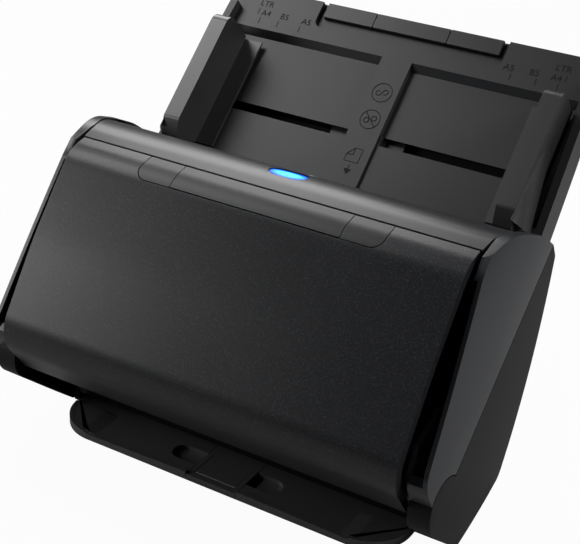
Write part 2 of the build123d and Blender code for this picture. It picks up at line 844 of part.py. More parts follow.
def make_rear_cover():
    """Back wall with the ports' pocket, vents and a lip under the feed tray."""
    half = inner_width / 2
    top_z = on_path(tray_foot, -tray_thick - 4)[1] - 4
    low_z = 17.0
    wall_side = outline([
        (back_line(low_z), low_z),
        (back_line(top_z), top_z),
        (back_line(top_z) - wall, top_z),
        (back_line(low_z) - wall, low_z),
    ])
    cover = slab(wall_side, -half, half)
    cover = cover + both_sides(slab(outline([
        (back_line(low_z) - 1, low_z),
        (back_line(top_z) - 1, top_z),
        (back_line(top_z) - 7, top_z),
        (back_line(low_z) - 7, low_z),
    ]), half - 2.0, half))
    for row in range(4):
        z = 62.0 + 8.0 * row
        for column in range(9):
            x = (column - 4) * 15.0
            cover = cover - block(x - 5.5, x + 5.5, 60, 130, z, z + 3.0)
    cover = cover - block(inlet_x - 7.2, inlet_x + 7.2, 60, 130, port_z - 6.2, port_z + 6.2)
    cover = cover - block(usb_x - 6.6, usb_x + 6.6, 60, 130, port_z - 6.0, port_z + 6.0)
    keep("rear_cover", cover)


def make_ports():
    """Power inlet and data socket, both on the main board."""
    y = back_line(port_z) - 0.6
    inlet = block(inlet_x - 6.5, inlet_x + 6.5, y - 14, y, port_z - 5.5, port_z + 5.5)
    bore = Pos(inlet_x, y - 4, port_z) * Cylinder(3.0, 8.2, rotation=(90, 0, 0))
    pin = Pos(inlet_x, y - 5, port_z) * Cylinder(1.0, 7.0, rotation=(90, 0, 0))
    keep("power_inlet", inlet - bore + pin)
    socket = block(usb_x - 6.0, usb_x + 6.0, y - 16, y, port_z - 5.4, port_z + 5.4)
    mouth = block(usb_x - 4.4, usb_x + 4.4, y - 10, y + 1, port_z - 3.9, port_z + 3.9)
    tongue = block(usb_x - 2.8, usb_x + 2.8, y - 11, y - 1.5, port_z - 1.6, port_z + 1.6)
    keep("data_socket", socket - mouth + tongue)


def make_main_board():
    """Main circuit board on the floor of the body, with its largest chips."""
    top = port_z - 5.5
    board = block(-112, 20, 48, base_rear - 2 - wall - slide_gap, top - 1.6, top)
    chips = block(-36, -16, 52, 70, top, top + 2.0) + block(-6, 8, 56, 68, top, top + 1.6)
    posts = None
    deck_top = deck_bottom() + deck_thick
    for x in (-108, -40, 14):
        post = Pos(x, 53, (deck_top + top - 1.6) / 2) * Cylinder(3.0, top - 1.6 - deck_top)
        posts = post if posts is None else posts + post
    pieces["base_pan"] = pieces["base_pan"] + posts
    keep("main_board", board + chips)


def make_rear_guide():
    """Straight sheet guide over the driven rollers, with a lip at the exit."""
    plate = path_box(exit_s - 20, tray_foot - 0.6, -sheet_gap - 1.6, -sheet_gap, -115.0, 119.0)
    plate = plate - roller_slots(-4, 4, roller_radius - 3.4, 1.0)
    window = path_box(scan_low - slide_gap, scan_high + slide_gap, -4, 4, -scan_half - 0.5, scan_half + 0.5)
    keep("rear_guide_plate", plate - window)


def make_feet():
    """Four rubber feet under the corners of the base."""
    foot = None
    for x in (-112, 112):
        for y in (base_front + 12, base_rear - 14):
            pad = Pos(x, y, base_clear / 2) * Cylinder(foot_radius, base_clear)
            pad = pad + Pos(x, y, base_clear + 0.6) * Cylinder(foot_radius * 0.5, 1.2)
            foot = pad if foot is None else foot + pad
    pieces["base_pan"] = pieces["base_pan"] - foot
    keep("rubber_feet", foot)


def make_screws():
    """Pan head screws that hold the rear cover."""
    screws = None
    for x in (-118, 118):
        for z in (34.0, 98.0):
            y = back_line(z)
            head = Pos(x, y + 0.2, z) * Cylinder(3.0, 1.8, rotation=(90, 0, 0))
            shank = Pos(x, y - 4.2, z) * Cylinder(1.4, 7.4, rotation=(90, 0, 0))
            cross = block(x - 0.4, x + 0.4, y + 0.3, y + 3, z - 1.6, z + 1.6)
            cross = cross + block(x - 1.6, x + 1.6, y + 0.3, y + 3, z - 0.4, z + 0.4)
            screw = head + shank - cross
            screws = screw if screws is None else screws + screw
    pieces["rear_cover"] = pieces["rear_cover"] - screws
    keep("cover_screws", screws)


# Feed tray

def tray_plan(inset=0.0):
    """Plan of the tray in its own plane, a little narrower at the top."""
    points = [
        (tray_half_neck - inset, tray_foot + inset),
        (tray_half_neck - inset, tray_neck + inset),
        (tray_half_foot - inset, tray_neck + inset),
        (tray_half_top - inset, tray_top - inset),
    ]
    loop = points + [(-x, s) for x, s in reversed(points)]
    shape = make_face(Polyline(*loop, close=True))
    upper = shape.vertices().sort_by(Axis.Y)[-2:]
    return fillet(upper, max(tray_corner - inset, 1.0))


def tray_prism(h_low, h_high, inset=0.0):
    """The tray's plan between two heights over its plane."""
    return extrude(sheet_plane * Pos(0, 0, h_low) * tray_plan(inset), amount=h_high - h_low)


def tray_taper(raise_by=0.0):
    """What the tray's underside loses towards its upper edge."""
    start = on_path(slot_high + 16, -tray_thick + raise_by)
    end = on_path(tray_top + 5, -tray_thick + 3.2 + raise_by)
    below = on_path(tray_top + 5, -60)
    under = on_path(slot_high + 16, -60)
    return slab(outline([start, end, below, under]), -200, 200)


def recess_outline():
    """Side view of a recess, whose upper wall slopes."""
    return outline([
        on_path(slot_high, 1),
        on_path(slot_high, -recess_depth),
        on_path(band_edge - recess_slope, -recess_depth),
        on_path(band_edge, 0),
        on_path(band_edge, 1),
    ])


def make_feed_tray():
    """Tray moulding: rims, recessed windows, centre strip and the guides' slot."""
    skin_low = -recess_depth - tray_skin + 0.6
    tray = tray_prism(-tray_thick, 0)
    rims = tray_prism(0, rim_height) - tray_prism(-1, rim_height + 1, rim_width)
    open_end = path_box(band_edge + 14, tray_top + 5, 0, rim_height + 1, -200, 200)
    foot_end = path_box(tray_foot - 1, mouth_nip + 1.6, 0, rim_height + 1, -200, 200)
    tray = tray + (rims - open_end - foot_end)
    for side in (-1, 1):
        low, high = sorted((side * strip_half, side * (guide_inner + guide_thick + 1)))
        tray = tray - slab(recess_outline(), low, high)
        tray = tray - path_box(tray_foot - 1, slot_high, -lower_recess, 1, low, high)
        low, high = sorted((side * slot_inner, side * (guide_inner + 7)))
        tray = tray - path_box(slot_low, slot_high, skin_low - 1, 1, low, high)
    tray = tray - tray_taper()
    cavity = tray_prism(-tray_thick - 1, skin_low, 6.0)
    tray = tray - (cavity - path_box(tray_foot - 1, tray_foot + 26, -20, skin_low, -200, 200))
    grip_room = path_box(tray_top - grip_length - slide_gap, tray_top + 1, -9, 1,
                         -grip_outer - slide_gap, grip_outer + slide_gap)
    well_low = tray_top - grip_length - 8.0
    well_plan = Pos(0, (well_low + tray_top) / 2) * Rectangle(2 * grip_outer + 8, tray_top - well_low)
    well_plan = fillet(well_plan.vertices().sort_by(Axis.Y)[:2], grip_well_corner)
    grip_well = extrude(sheet_plane * Pos(0, 0, -grip_well_depth) * well_plan, amount=grip_well_depth + 1)
    tongue_room = path_box(tongue_foot - 2, tray_top + 1, -10.6, skin_low + 0.01,
                           -tongue_half - slide_gap, tongue_half + slide_gap)
    tray = tray - grip_room - grip_well - tongue_room
    keep("feed_tray", tray - roller_slots(-30, 30, roller_radius + 1, 2))


def make_tray_back():
    """Closing pan under the feed tray, with the pinion's pin."""
    pan = tray_prism(-tray_thick - 2.4, -tray_thick + 4.0, 1.5)
    upper = slab(outline([
        on_path(slot_high + 16, -tray_thick),
        on_path(tray_top + 5, -tray_thick + 3.2),
        on_path(tray_top + 5, 20),
        on_path(slot_high + 16, 20),
    ]), -200, 200)
    lower = path_box(tray_foot - 10, slot_high + 16.01, -tray_thick, 20, -200, 200)
    pan = pan - upper - lower - tray_taper(-2.4)
    pan = pan - path_box(tray_foot - 5, tray_foot + 24, -30, 0, -200, 200)
    middle = (slot_low + slot_high) / 2
    pin = sheet_plane * Pos(0, middle, -tray_thick + 1.6) * Cylinder(1.5, 3.4)
    ribs = None
    for row in range(5):
        s = 48.0 + row * 11.0
        lift = max(s - slot_high - 16, 0.0) * 3.2 / (tray_top + 5 - slot_high - 16)
        low = -tray_thick - 3.4 + lift
        rib = path_box(s - 1, s + 1, low, low + 1.2, -88, 88)
        ribs = rib if ribs is None else ribs + rib
    keep("tray_back", pan + pin + ribs)


def rack_outline(length_left, length_right, side):
    """Rack in the tray's plane; side is -1 below the pinion and 1 above it."""
    pitch_radius = rack_module * pinion_teeth / 2
    middle = (slot_low + slot_high) / 2
    pitch = math.pi * rack_module
    line = middle + side * pitch_radius
    root = line + side * 1.25 * rack_module
    tip = line - side * 0.95 * rack_module
    back = root + side * 2.2
    points = [(length_left, back), (length_left, root)]
    count = int((length_right - length_left - 2 * pitch) / pitch)
    first = math.ceil((length_left + pitch) / pitch)
    for k in range(first, first + count):
        centre = (k + 0.5) * pitch
        points += [
            (centre - 0.93 * rack_module, root),
            (centre - 0.36 * rack_module, tip),
            (centre + 0.36 * rack_module, tip),
            (centre + 0.93 * rack_module, root),
        ]
    points += [(length_right, root), (length_right, back)]
    return make_face(Polyline(*points, close=True))


def guide_profile():
    """Side view of a guide's wall, with a blunt nose and a rounded upper end."""
    nose = guide_low - guide_nose
    return outline([
        on_path(guide_low, slide_gap),
        (*on_path(nose, 9.0), 3.0),
        (*on_path(nose, guide_height - 7.0), 2.5),
        (*on_path(guide_low + 1, guide_height), 4.0),
        (*on_path(guide_high, guide_height), 8.0),
        on_path(guide_high, slide_gap),
    ])


def flare_section(s, reach):
    """Section of the right guide's outer flare, curved like part of a cone."""
    root = guide_inner + guide_thick - 0.5
    top, low = guide_height - 0.8, 8.0
    start, end = (root, top), (root + 0.5 + reach, low)
    middle = (root + 0.4 + reach * 0.74, low + (top - low) * 0.46)
    edge = ThreePointArc(start, middle, end) + Line(end, (root, low)) + Line((root, low), start)
    return sheet_plane * Pos(0, s, 0) * (Plane.XZ * make_face(edge))


def make_guide(name, side):
    """Document guide: wall, foot under the sheet, flared outer base, stem and rack."""
    inner = guide_inner
    outer = guide_inner + guide_thick
    wall_box = slab(guide_profile(), inner, outer)
    hollow = path_box(guide_low + 8, guide_high - 10, slide_gap - 1, guide_height - 3, inner + 2.2, outer - 2.2)
    flare = loft([flare_section(guide_low - guide_nose + 4, flare_reach), flare_section(flare_high, 0.2)])
    foot_low = slide_gap - lower_recess
    foot = path_box(guide_low, guide_high - 2, foot_low, foot_low + 1.6, inner - guide_foot, inner + 3)
    foot = foot + path_box(guide_low, guide_high - 2, foot_low, slide_gap + 1, inner, outer - 2.2)
    body = wall_box - hollow + flare + foot
    rack_low, rack_high = -tray_thick + 0.7, -tray_thick + 3.1
    middle = (slot_low + slot_high) / 2
    stem = path_box(middle - 2.4, middle + 2.4, rack_high - 0.5, slide_gap + 1, inner + 0.4, inner + 6.0)
    ends = (middle - 9.0, middle + 2.4) if side > 0 else (middle - 2.4, middle + 9.0)
    stem = stem + path_box(*ends, rack_low, rack_high, inner + 0.4, inner + 6.0)
    rack = extrude(
        sheet_plane * Pos(0, 0, rack_low) * rack_outline(-9.0, inner + 3.0, -1), amount=rack_high - rack_low)
    guide = body + stem + rack
    if side < 0:
        left_rack = extrude(
            sheet_plane * Pos(0, 0, rack_low) * rack_outline(-inner - 3.0, 9.0, 1), amount=rack_high - rack_low)
        guide = mirror(body + stem, about=Plane.YZ) + left_rack
    keep(name, guide)


def make_pinion():
    """Small gear that keeps the two guides centred."""
    middle = (slot_low + slot_high) / 2
    face = gear_face(pinion_teeth, rack_module, math.pi / 2)
    disc = extrude(sheet_plane * Pos(0, middle, -tray_thick + 0.7) * face, amount=2.4)
    bore = sheet_plane * Pos(0, middle, -tray_thick) * Cylinder(1.5 + shaft_gap, 12)
    keep("guide_pinion", disc - bore)


def make_extension():
    """Two nested slides that lengthen the tray, each with its share of the grip."""
    grip_low = tray_top - grip_length
    tongue = path_box(tongue_foot, tray_top - 1, -10.2, -8.1, -tongue_half, tongue_half)
    head = path_box(grip_low, tray_top, -8.6, -6.0, -grip_outer, grip_outer)
    head = head - path_box(grip_low - 1, tray_top + 1, -7.7, 0, -grip_inner - slide_gap, grip_inner + slide_gap)
    grips = path_box(grip_low, tray_top, -6.0, -0.2, grip_inner + slide_gap, grip_outer)
    outer = tongue + head + both_sides(grips)
    stops = path_box(tongue_foot, tongue_foot + 4, -8.2, -7.7, -tip_tongue_half, tip_tongue_half)
    keep("tray_extension", outer + stops)
    tip = path_box(tongue_foot + 8, tray_top - 1, -7.4, -5.9, -tip_tongue_half, tip_tongue_half)
    grip = path_box(grip_low, tray_top, -7.4, -0.2, -grip_inner, grip_inner)
    keep("extension_tip", tip + grip)


# Eject tray

def eject_plan(inset=0.0):
    """Plan of the eject tray with its rounded front corners."""
    middle = (eject_front + eject_rear) / 2
    plate = Pos(0, middle, 0) * Rectangle(2 * (eject_half - inset), eject_rear - eject_front - 2 * inset)
    corners = plate.vertices().sort_by(Axis.Y)[:2]
    return fillet(corners, eject_corner - inset)


def make_eject_tray():
    """Sliding tray under the exit, with the window and the channel of its extension."""
    tray = extrude(Pos(0, 0, eject_floor) * eject_plan(), amount=eject_thick)
    lip = extrude(Pos(0, 0, eject_floor + eject_thick) * eject_plan(), amount=lip_height)
    lip = lip - extrude(Pos(0, 0, eject_floor) * eject_plan(2.4), amount=10)
    lip = lip & block(-200, 200, eject_front - 1, base_front - 10, 0, 30)
    tray = tray + lip
    window = SlotOverall(2 * window_half, window_high - window_low)
    window = extrude(Pos(0, (window_low + window_high) / 2, eject_floor + 1.2) * window, amount=30)
    window = window + block(stopper_half + 1.0, stopper_half + 5.0, window_low + 1, window_high - 1, 0, 30)
    channel = block(-stopper_half - slide_gap, stopper_half + slide_gap, eject_front - 1, eject_rear - 3,
                    eject_floor + 1.2, 30)
    step = block(eject_half - 36, eject_half - 27, eject_front + 3, base_front - 8,
                 eject_floor + eject_thick - 0.1, eject_floor + eject_thick + 0.9)
    keep("eject_tray", tray - window - channel + both_sides(step))


def stopper_pivot():
    """Side view point (y, z) that the stopper flips up about."""
    return (eject_front + 5.8, eject_floor + eject_thick - 0.85)


def make_eject_extension():
    """Tongue that slides out of the eject tray and carries the stopper."""
    low = eject_floor + 1.2 + 0.3
    top = eject_floor + eject_thick
    tongue = block(-stopper_half, stopper_half, eject_front, eject_rear - 6, low, top)
    pocket = block(-stopper_half + 3, stopper_half - 3, eject_front + 4, eject_front + 26, low + 0.6, top + 1)
    keep("eject_extension", tongue - pocket)
    leaf_half = stopper_half - 3.3
    y, z = stopper_pivot()
    half_thick = top - 0.1 - z
    leaf = block(-leaf_half, leaf_half, y, eject_front + 25.4, z - half_thick, z + half_thick)
    leaf = leaf + across(y, z, half_thick, -leaf_half, leaf_half)
    pin = across(y, z, 0.5, -leaf_half - 1.8, leaf_half + 1.8)
    hole = across(y, z, 0.5 + shaft_gap, -leaf_half - 2.0, leaf_half + 2.0)
    pieces["eject_extension"] = pieces["eject_extension"] - hole
    keep("eject_stopper", leaf + pin)


def make_all():
    """Build every piece."""
    train = gear_train()
    make_front_cover()
    make_panel()
    make_top_cover()
    make_front_sides()
    make_front_frame()
    make_front_arms()
    make_front_guide()
    make_front_board()
    make_scan_unit("front", 1)
    make_scan_unit("rear", -1)
    make_pinch_roller("retard", feed_s)
    make_pinch_roller("middle_pinch", middle_s)
    make_pinch_roller("exit_pinch", exit_s)
    make_driven_roller(train, "feed", feed_s)
    make_driven_roller(train, "middle", middle_s)
    make_driven_roller(train, "exit", exit_s)
    make_side_plates(train)
    make_idlers(train)
    make_motor(train)
    make_rear_sides()
    make_base_pan()
    make_rear_cover()
    make_ports()
    make_main_board()
    make_rear_guide()
    make_feet()
    make_screws()
    make_feed_tray()
    make_tray_back()
    make_guide("right_guide", 1)
    make_guide("left_guide", -1)
    make_pinion()
    make_extension()
    make_eject_tray()
    make_eject_extension()


def joint_places():
    """Pivots in the side view, before the origin is moved to the middle."""
    train = gear_train()
    places = {name: entry[0] for name, entry in train.items()}
    places["front_hinge"] = (hinge_y, hinge_z)
    for name, s in (("retard", feed_s), ("middle_pinch", middle_s), ("exit_pinch", exit_s)):
        places[name] = on_path(s, pinch_h)
    places["lever"] = lever_pivot()
    places["pinion"] = on_path((slot_low + slot_high) / 2, -tray_thick + 1.9)
    places["stopper"] = stopper_pivot()
    return places


def main():
    os.makedirs("parts", exist_ok=True)
    make_all()
    lowest = min(shape.bounding_box().min.Y for shape in pieces.values())
    highest = max(shape.bounding_box().max.Y for shape in pieces.values())
    middle = (lowest + highest) / 2
    for name, shape in pieces.items():
        export_step(Pos(0, -middle, 0) * shape, f"parts/{name}.step")
    print(f"depth {highest - lowest:.2f}, origin moved back by {middle:.3f}")
    for name, (y, z) in joint_places().items():
        print(f"{name}: y {y - middle:.4f} z {z:.4f}")


if __name__ == "__main__":
    main()
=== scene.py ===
import json
import math

import bmesh
import bpy
from bpy.props import FloatProperty, FloatVectorProperty, IntProperty, PointerProperty
from mathutils import Matrix, Vector
from mathutils.bvhtree import BVHTree

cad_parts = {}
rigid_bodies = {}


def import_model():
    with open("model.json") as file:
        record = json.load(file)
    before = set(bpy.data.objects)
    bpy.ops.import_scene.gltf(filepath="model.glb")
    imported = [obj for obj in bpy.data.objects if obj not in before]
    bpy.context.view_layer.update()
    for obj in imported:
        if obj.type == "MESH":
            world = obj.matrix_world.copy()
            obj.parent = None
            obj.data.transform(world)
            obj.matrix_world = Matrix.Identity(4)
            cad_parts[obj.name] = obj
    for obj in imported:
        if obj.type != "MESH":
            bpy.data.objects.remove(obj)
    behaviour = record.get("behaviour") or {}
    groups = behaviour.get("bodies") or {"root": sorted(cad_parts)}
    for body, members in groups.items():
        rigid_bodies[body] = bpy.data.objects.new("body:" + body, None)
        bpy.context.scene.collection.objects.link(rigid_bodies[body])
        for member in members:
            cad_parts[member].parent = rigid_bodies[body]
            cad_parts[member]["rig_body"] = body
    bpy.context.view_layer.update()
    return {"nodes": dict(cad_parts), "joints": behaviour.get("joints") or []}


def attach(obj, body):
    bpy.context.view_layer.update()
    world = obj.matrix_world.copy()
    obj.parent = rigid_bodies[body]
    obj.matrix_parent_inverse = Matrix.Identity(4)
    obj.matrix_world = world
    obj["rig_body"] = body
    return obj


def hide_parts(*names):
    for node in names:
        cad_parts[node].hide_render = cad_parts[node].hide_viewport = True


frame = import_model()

bl_info = {
    "name": "Document scanner",
    "version": (1, 0, 0),
    "blender": (4, 5, 0),
    "location": "3D View > Sidebar > Scanner",
    "description": "Dresses the packed frame of a desktop sheet-fed document scanner",
    "category": "Object",
}

MM = 0.001
HINGE_Y = -17.0 * MM                       # the hinge in the side view's own measure
PATH_TILT = math.radians(43.0)
PATH_FOOT = (125.0 * MM, 153.0 * MM)
EJECT_HALF, EJECT_FRONT, EJECT_TOP = 118.0, -19.0, 9.9
TYRE_PLACES = (-70.0, -24.0, 24.0, 70.0)
BACK_TOP = (109.0, 149.0)                  # y, z of the back's upper edge
BASE_REAR, BASE_CLEAR = 92.0, 3.0          # y, z of the back's lower edge
TICKS = ((74.5, 91.8), (91.0, 91.8), (105.0, 91.8), (108.3, 98.4))
SIZE_NAMES = (("A5", 71.6, 97.6), ("B5", 88.2, 97.8), ("A4", 102.4, 97.6), ("LTR", 104.6, 104.6))
CLIP_SIGN, PAIR_SIGN, SIGN_RADIUS = 61.6, 42.2, 6.6    # places of the round signs along the sheet
MARK_DEPTH = 0.12 * MM
POWER_MARK = (9.0, 68.4)                   # x, y of the ring behind the button
POWER_RING = 1.5
SCREW_PLACES = ((-118, 34.0), (-118, 98.0), (118, 34.0), (118, 98.0))    # x, z
SLOT_REACH = 112.0                         # half the slot across the feed tray
SLOT_START, SLOT_END, SLOT_TOP = 18.0, 44.0, -4.3
LAMPS = (                                  # name, place, target, size, power
    ("key_softbox", (-1.04, -0.70, 0.50), (0.0, 0.0, 0.12), 0.55, 7.0),
    ("right_softbox", (1.02, 0.22, 0.86), (0.14, 0.0, 0.12), 0.4, 13.0),
    ("back_softbox", (-0.66, 0.84, 0.96), (0.0, 0.0, 0.18), 0.6, 6.5),
    ("top_softbox", (-0.81, -0.10, 1.13), (0.0, 0.05, 0.18), 0.6, 5.5),
)
CAMERA_PLACE = (363.49, -576.56, 502.89)
CAMERA_AZIMUTH, CAMERA_ELEVATION, CAMERA_ROLL, CAMERA_LENS = 29.577, 27.841, 2.650, 86.9
FLOOR_REACH, FLOOR_GREY, FLOOR_GLOW, FLOOR_SHARE = 6.0, 0.35, 1.03, 0.93
ROOM_COLOUR = (0.03, 0.031, 0.033, 1.0)

joints = {joint["name"]: joint for joint in frame["joints"]}
side_view_shift = HINGE_Y - joints["front_open"]["pos_m"][1]


# Places

def at(x, y, z):
    """A point given in millimetres of the side view, in the shared frame."""
    return Vector((x * MM, y * MM - side_view_shift, z * MM))


def sheet_matrix():
    """Turns (x, s, h), in metres along and over the sheet, into the shared frame."""
    along = Vector((0, math.cos(PATH_TILT), math.sin(PATH_TILT)))
    away = Vector((0, -math.sin(PATH_TILT), math.cos(PATH_TILT)))
    matrix = Matrix((Vector((1, 0, 0)), along, away)).transposed().to_4x4()
    matrix.translation = Vector((0, PATH_FOOT[0] - side_view_shift, PATH_FOOT[1]))
    return matrix


SHEET = sheet_matrix()
TO_SHEET = SHEET.inverted()


# Mesh helpers

def link(name, mesh):
    """An object for a mesh, linked to the scene."""
    piece = bpy.data.objects.new(name, mesh)
    bpy.context.scene.collection.objects.link(piece)
    return piece


def frozen(piece):
    """Replaces a piece's mesh by its evaluated one and takes its modifiers off."""
    depsgraph = bpy.context.evaluated_depsgraph_get()
    mesh = bpy.data.meshes.new_from_object(piece.evaluated_get(depsgraph))
    old = piece.data
    piece.modifiers.clear()
    piece.data = mesh
    mesh.name = piece.name
    bpy.data.meshes.remove(old)
    return piece


def smooth_by_angle(mesh, degrees=32.0):
    """Smooth faces, with the edges over an angle kept sharp."""
    form = bmesh.new()
    form.from_mesh(mesh)
    for face in form.faces:
        face.smooth = True
    for edge in form.edges:
        edge.smooth = edge.is_manifold and edge.calc_face_angle(0.0) < math.radians(degrees)
    form.to_mesh(mesh)
    form.free()


def merged_copy(node):
    """The node's mesh with its doubles merged and its flat faces made whole."""
    mesh = frame["nodes"][node].data.copy()
    form = bmesh.new()
    form.from_mesh(mesh)
    bmesh.ops.remove_doubles(form, verts=form.verts, dist=2e-6)
    bmesh.ops.dissolve_limit(
        form, angle_limit=math.radians(0.6), verts=form.verts, edges=form.edges)
    form.to_mesh(mesh)
    form.free()
    return mesh


def flat_faces(piece):
    """Normals led by the large faces, so that flat ones stay flat up to their rounded edges."""
    weights = piece.modifiers.new("flat faces", "WEIGHTED_NORMAL")
    weights.keep_sharp = True
    weights.weight = 80
    return frozen(piece)


def softened(node, width, material, segments=2, change=None, shade_test=None):
    """A copy of a node with rounded edges, standing for the node; where a test is given, the faces it picks
    get the inner black as painted shade.
    """
    mesh = merged_copy(node)
    if change is not None:
        change(mesh)
    piece = link(node + "_form", mesh)
    bevel = piece.modifiers.new("rounded edges", "BEVEL")
    bevel.width = width
    bevel.segments = segments
    bevel.limit_method = "ANGLE"
    bevel.angle_limit = math.radians(38)
    bevel.use_clamp_overlap = True
    bevel.miter_outer = "MITER_ARC"
    frozen(piece)
    smooth_by_angle(piece.data)
    flat_faces(piece)
    dress(piece, material)
    if shade_test is not None:
        paint_shade_black(piece, shade_test)
    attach(piece, frame["nodes"][node]["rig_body"])
    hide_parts(node)
    return piece


def dress(piece, material):
    """Gives a piece one material."""
    piece.data.materials.clear()
    piece.data.materials.append(material)


def paint_shade_black(piece, chosen):
    """Painted shade: gives the inner black to the faces that a test picks by their place on the sheet, where
    shade falls in the tray's slot and hollows.
    """
    piece.data.materials.append(finish["inner"])
    away = (SHEET.to_3x3() @ Vector((0, 0, 1))).normalized()
    for face in piece.data.polygons:
        x, s, h = (TO_SHEET @ face.center) / MM
        if chosen(x, s, h, face.normal.dot(away)):
            face.material_index = 1


def in_slot(x, s, h, up):
    """Faces of the slot across the feed tray, which get painted shade."""
    return abs(x) < SLOT_REACH and SLOT_START < s < SLOT_END and h < SLOT_TOP


def under_sheet(x, s, h, up):
    """Faces of a guide that reach down into the slot, which get painted shade."""
    return h < -2.0


def inside_pan(x, s, h, up):
    """Faces of the closing pan that look up into the tray, which get painted shade."""
    return up > 0.5


# Geometry Nodes helpers

def repeat_tree(name, sizes):
    """A Geometry Nodes tree with named sizes; returns the tree, its start and its end."""
    tree = bpy.data.node_groups.new(name, "GeometryNodeTree")
    tree.interface.new_socket(name="Geometry", in_out="INPUT", socket_type="NodeSocketGeometry")
    for label, value in sizes.items():
        kind = "NodeSocketInt" if isinstance(value, int) else "NodeSocketFloat"
        group_socket(tree, label, kind, value)
    tree.interface.new_socket(name="Geometry", in_out="OUTPUT", socket_type="NodeSocketGeometry")
    return tree, tree.nodes.new("NodeGroupInput"), tree.nodes.new("NodeGroupOutput")


def geometry_node(tree, kind, settings=None, links=None):
    """A node with its settings, and its inputs fed by sockets or set to values."""
    node = tree.nodes.new(kind)
    for label, value in (settings or {}).items():
        setattr(node, label, value)
    for label, value in (links or {}).items():
        if isinstance(value, bpy.types.NodeSocket):
            tree.links.new(value, node.inputs[label])
        else:
            node.inputs[label].default_value = value
    return node


def close_tree(tree, geometry, end, material):
    """Realizes the instances and sets their material."""
    real = geometry_node(tree, "GeometryNodeRealizeInstances", links={"Geometry": geometry})
    coat = geometry_node(
        tree, "GeometryNodeSetMaterial", links={"Geometry": real.outputs[0], "Material": material})
    tree.links.new(coat.outputs[0], end.inputs["Geometry"])


def grown(name, points, tree, sizes, normals=None):
    """A piece that a tree grows on a set of points, made into a plain mesh."""
    mesh = bpy.data.meshes.new(name)
    mesh.from_pydata([tuple(point) for point in points], [], [])
    if normals is not None:
        field = mesh.attributes.new("facing", "FLOAT_VECTOR", "POINT")
        for item, normal in zip(field.data, normals):
            item.vector = normal
    piece = link(name, mesh)
    holder = piece.modifiers.new("grow", "NODES")
    holder.node_group = tree
    for socket in tree.interface.items_tree:
        if socket.in_out == "INPUT" and socket.name in sizes:
            holder[socket.identifier] = sizes[socket.name]
    return frozen(piece)


# Shader node groups

def group_socket(group, name, kind, default=None, is_input=True):
    """Adds a socket to a node group's interface."""
    direction = "INPUT" if is_input else "OUTPUT"
    socket = group.interface.new_socket(name=name, in_out=direction, socket_type=kind)
    if default is not None:
        socket.default_value = default
    return socket


def new_group(name, inputs, outputs):
    """A shader node group with its ends in place."""
    group = bpy.data.node_groups.new(name, "ShaderNodeTree")
    for label, kind, default in inputs:
        group_socket(group, label, kind, default)
    for label, kind in outputs:
        group_socket(group, label, kind, is_input=False)
    start = group.nodes.new("NodeGroupInput")
    end = group.nodes.new("NodeGroupOutput")
    return group, start, end


def math_node(tree, operation, first, second):
    """A Math node; each operand is a socket or a number."""
    node = tree.nodes.new("ShaderNodeMath")
    node.operation = operation
    for socket, value in zip(node.inputs, (first, second)):
        if isinstance(value, (int, float)):
            socket.default_value = value
        else:
            tree.links.new(value, socket)
    return node.outputs[0]


def noise_node(tree, vector, scale, detail=2.0):
    """A Noise texture; scale is a socket or a number."""
    node = tree.nodes.new("ShaderNodeTexNoise")
    tree.links.new(vector, node.inputs["Vector"])
    node.inputs["Detail"].default_value = detail
    if isinstance(scale, (int, float)):
        node.inputs["Scale"].default_value = scale
    else:
        tree.links.new(scale, node.inputs["Scale"])
    return node.outputs["Fac"]


def shade_colour(tree, colour, factor):
    """A colour made lighter or darker by a factor that varies over the surface."""
    node = tree.nodes.new("ShaderNodeVectorMath")
    node.operation = "SCALE"
    tree.links.new(colour, node.inputs[0])
    tree.links.new(factor, node.inputs["Scale"])
    return node.outputs[0]


def make_grain_group():
    """Moulded grain: fine bumps, slow drift of tone and of roughness."""
    group, start, end = new_group(
        "moulded_grain",
        [
            ("Colour", "NodeSocketColor", (0.02, 0.02, 0.02, 1.0)),
            ("Grain Scale", "NodeSocketFloat", 2200.0),
            ("Fleck", "NodeSocketFloat", 0.1),
            ("Drift", "NodeSocketFloat", 0.1),
            ("Roughness", "NodeSocketFloat", 0.45),
            ("Roughness Drift", "NodeSocketFloat", 0.06),
            ("Specks", "NodeSocketFloat", 0.0),
        ],
        [
            ("Colour", "NodeSocketColor"),
            ("Roughness", "NodeSocketFloat"),
            ("Height", "NodeSocketFloat"),
        ],
    )
    place = group.nodes.new("ShaderNodeTexCoord").outputs["Object"]
    fine = noise_node(group, place, start.outputs["Grain Scale"], 3.0)
    slow = noise_node(group, place, 11.0, 1.0)
    fine_part = math_node(group, "SUBTRACT", fine, 0.5)
    slow_part = math_node(group, "SUBTRACT", slow, 0.5)
    flecked = math_node(group, "MULTIPLY", fine_part, start.outputs["Fleck"])
    drifted = math_node(group, "MULTIPLY", slow_part, start.outputs["Drift"])
    peaks = math_node(group, "MULTIPLY", math_node(group, "SUBTRACT", fine, 0.58), 14.0)
    shown = math_node(group, "MINIMUM", math_node(group, "MAXIMUM", peaks, 0.0), 1.0)
    specks = math_node(group, "MULTIPLY", shown, start.outputs["Specks"])
    varied = math_node(group, "ADD", math_node(group, "ADD", flecked, drifted), specks)
    factor = math_node(group, "ADD", varied, 1.0)
    group.links.new(shade_colour(group, start.outputs["Colour"], factor), end.inputs["Colour"])
    spread = math_node(group, "MULTIPLY", slow_part, start.outputs["Roughness Drift"])
    rough = math_node(group, "ADD", start.outputs["Roughness"], spread)
    group.links.new(rough, end.inputs["Roughness"])
    group.links.new(fine, end.inputs["Height"])
    return group


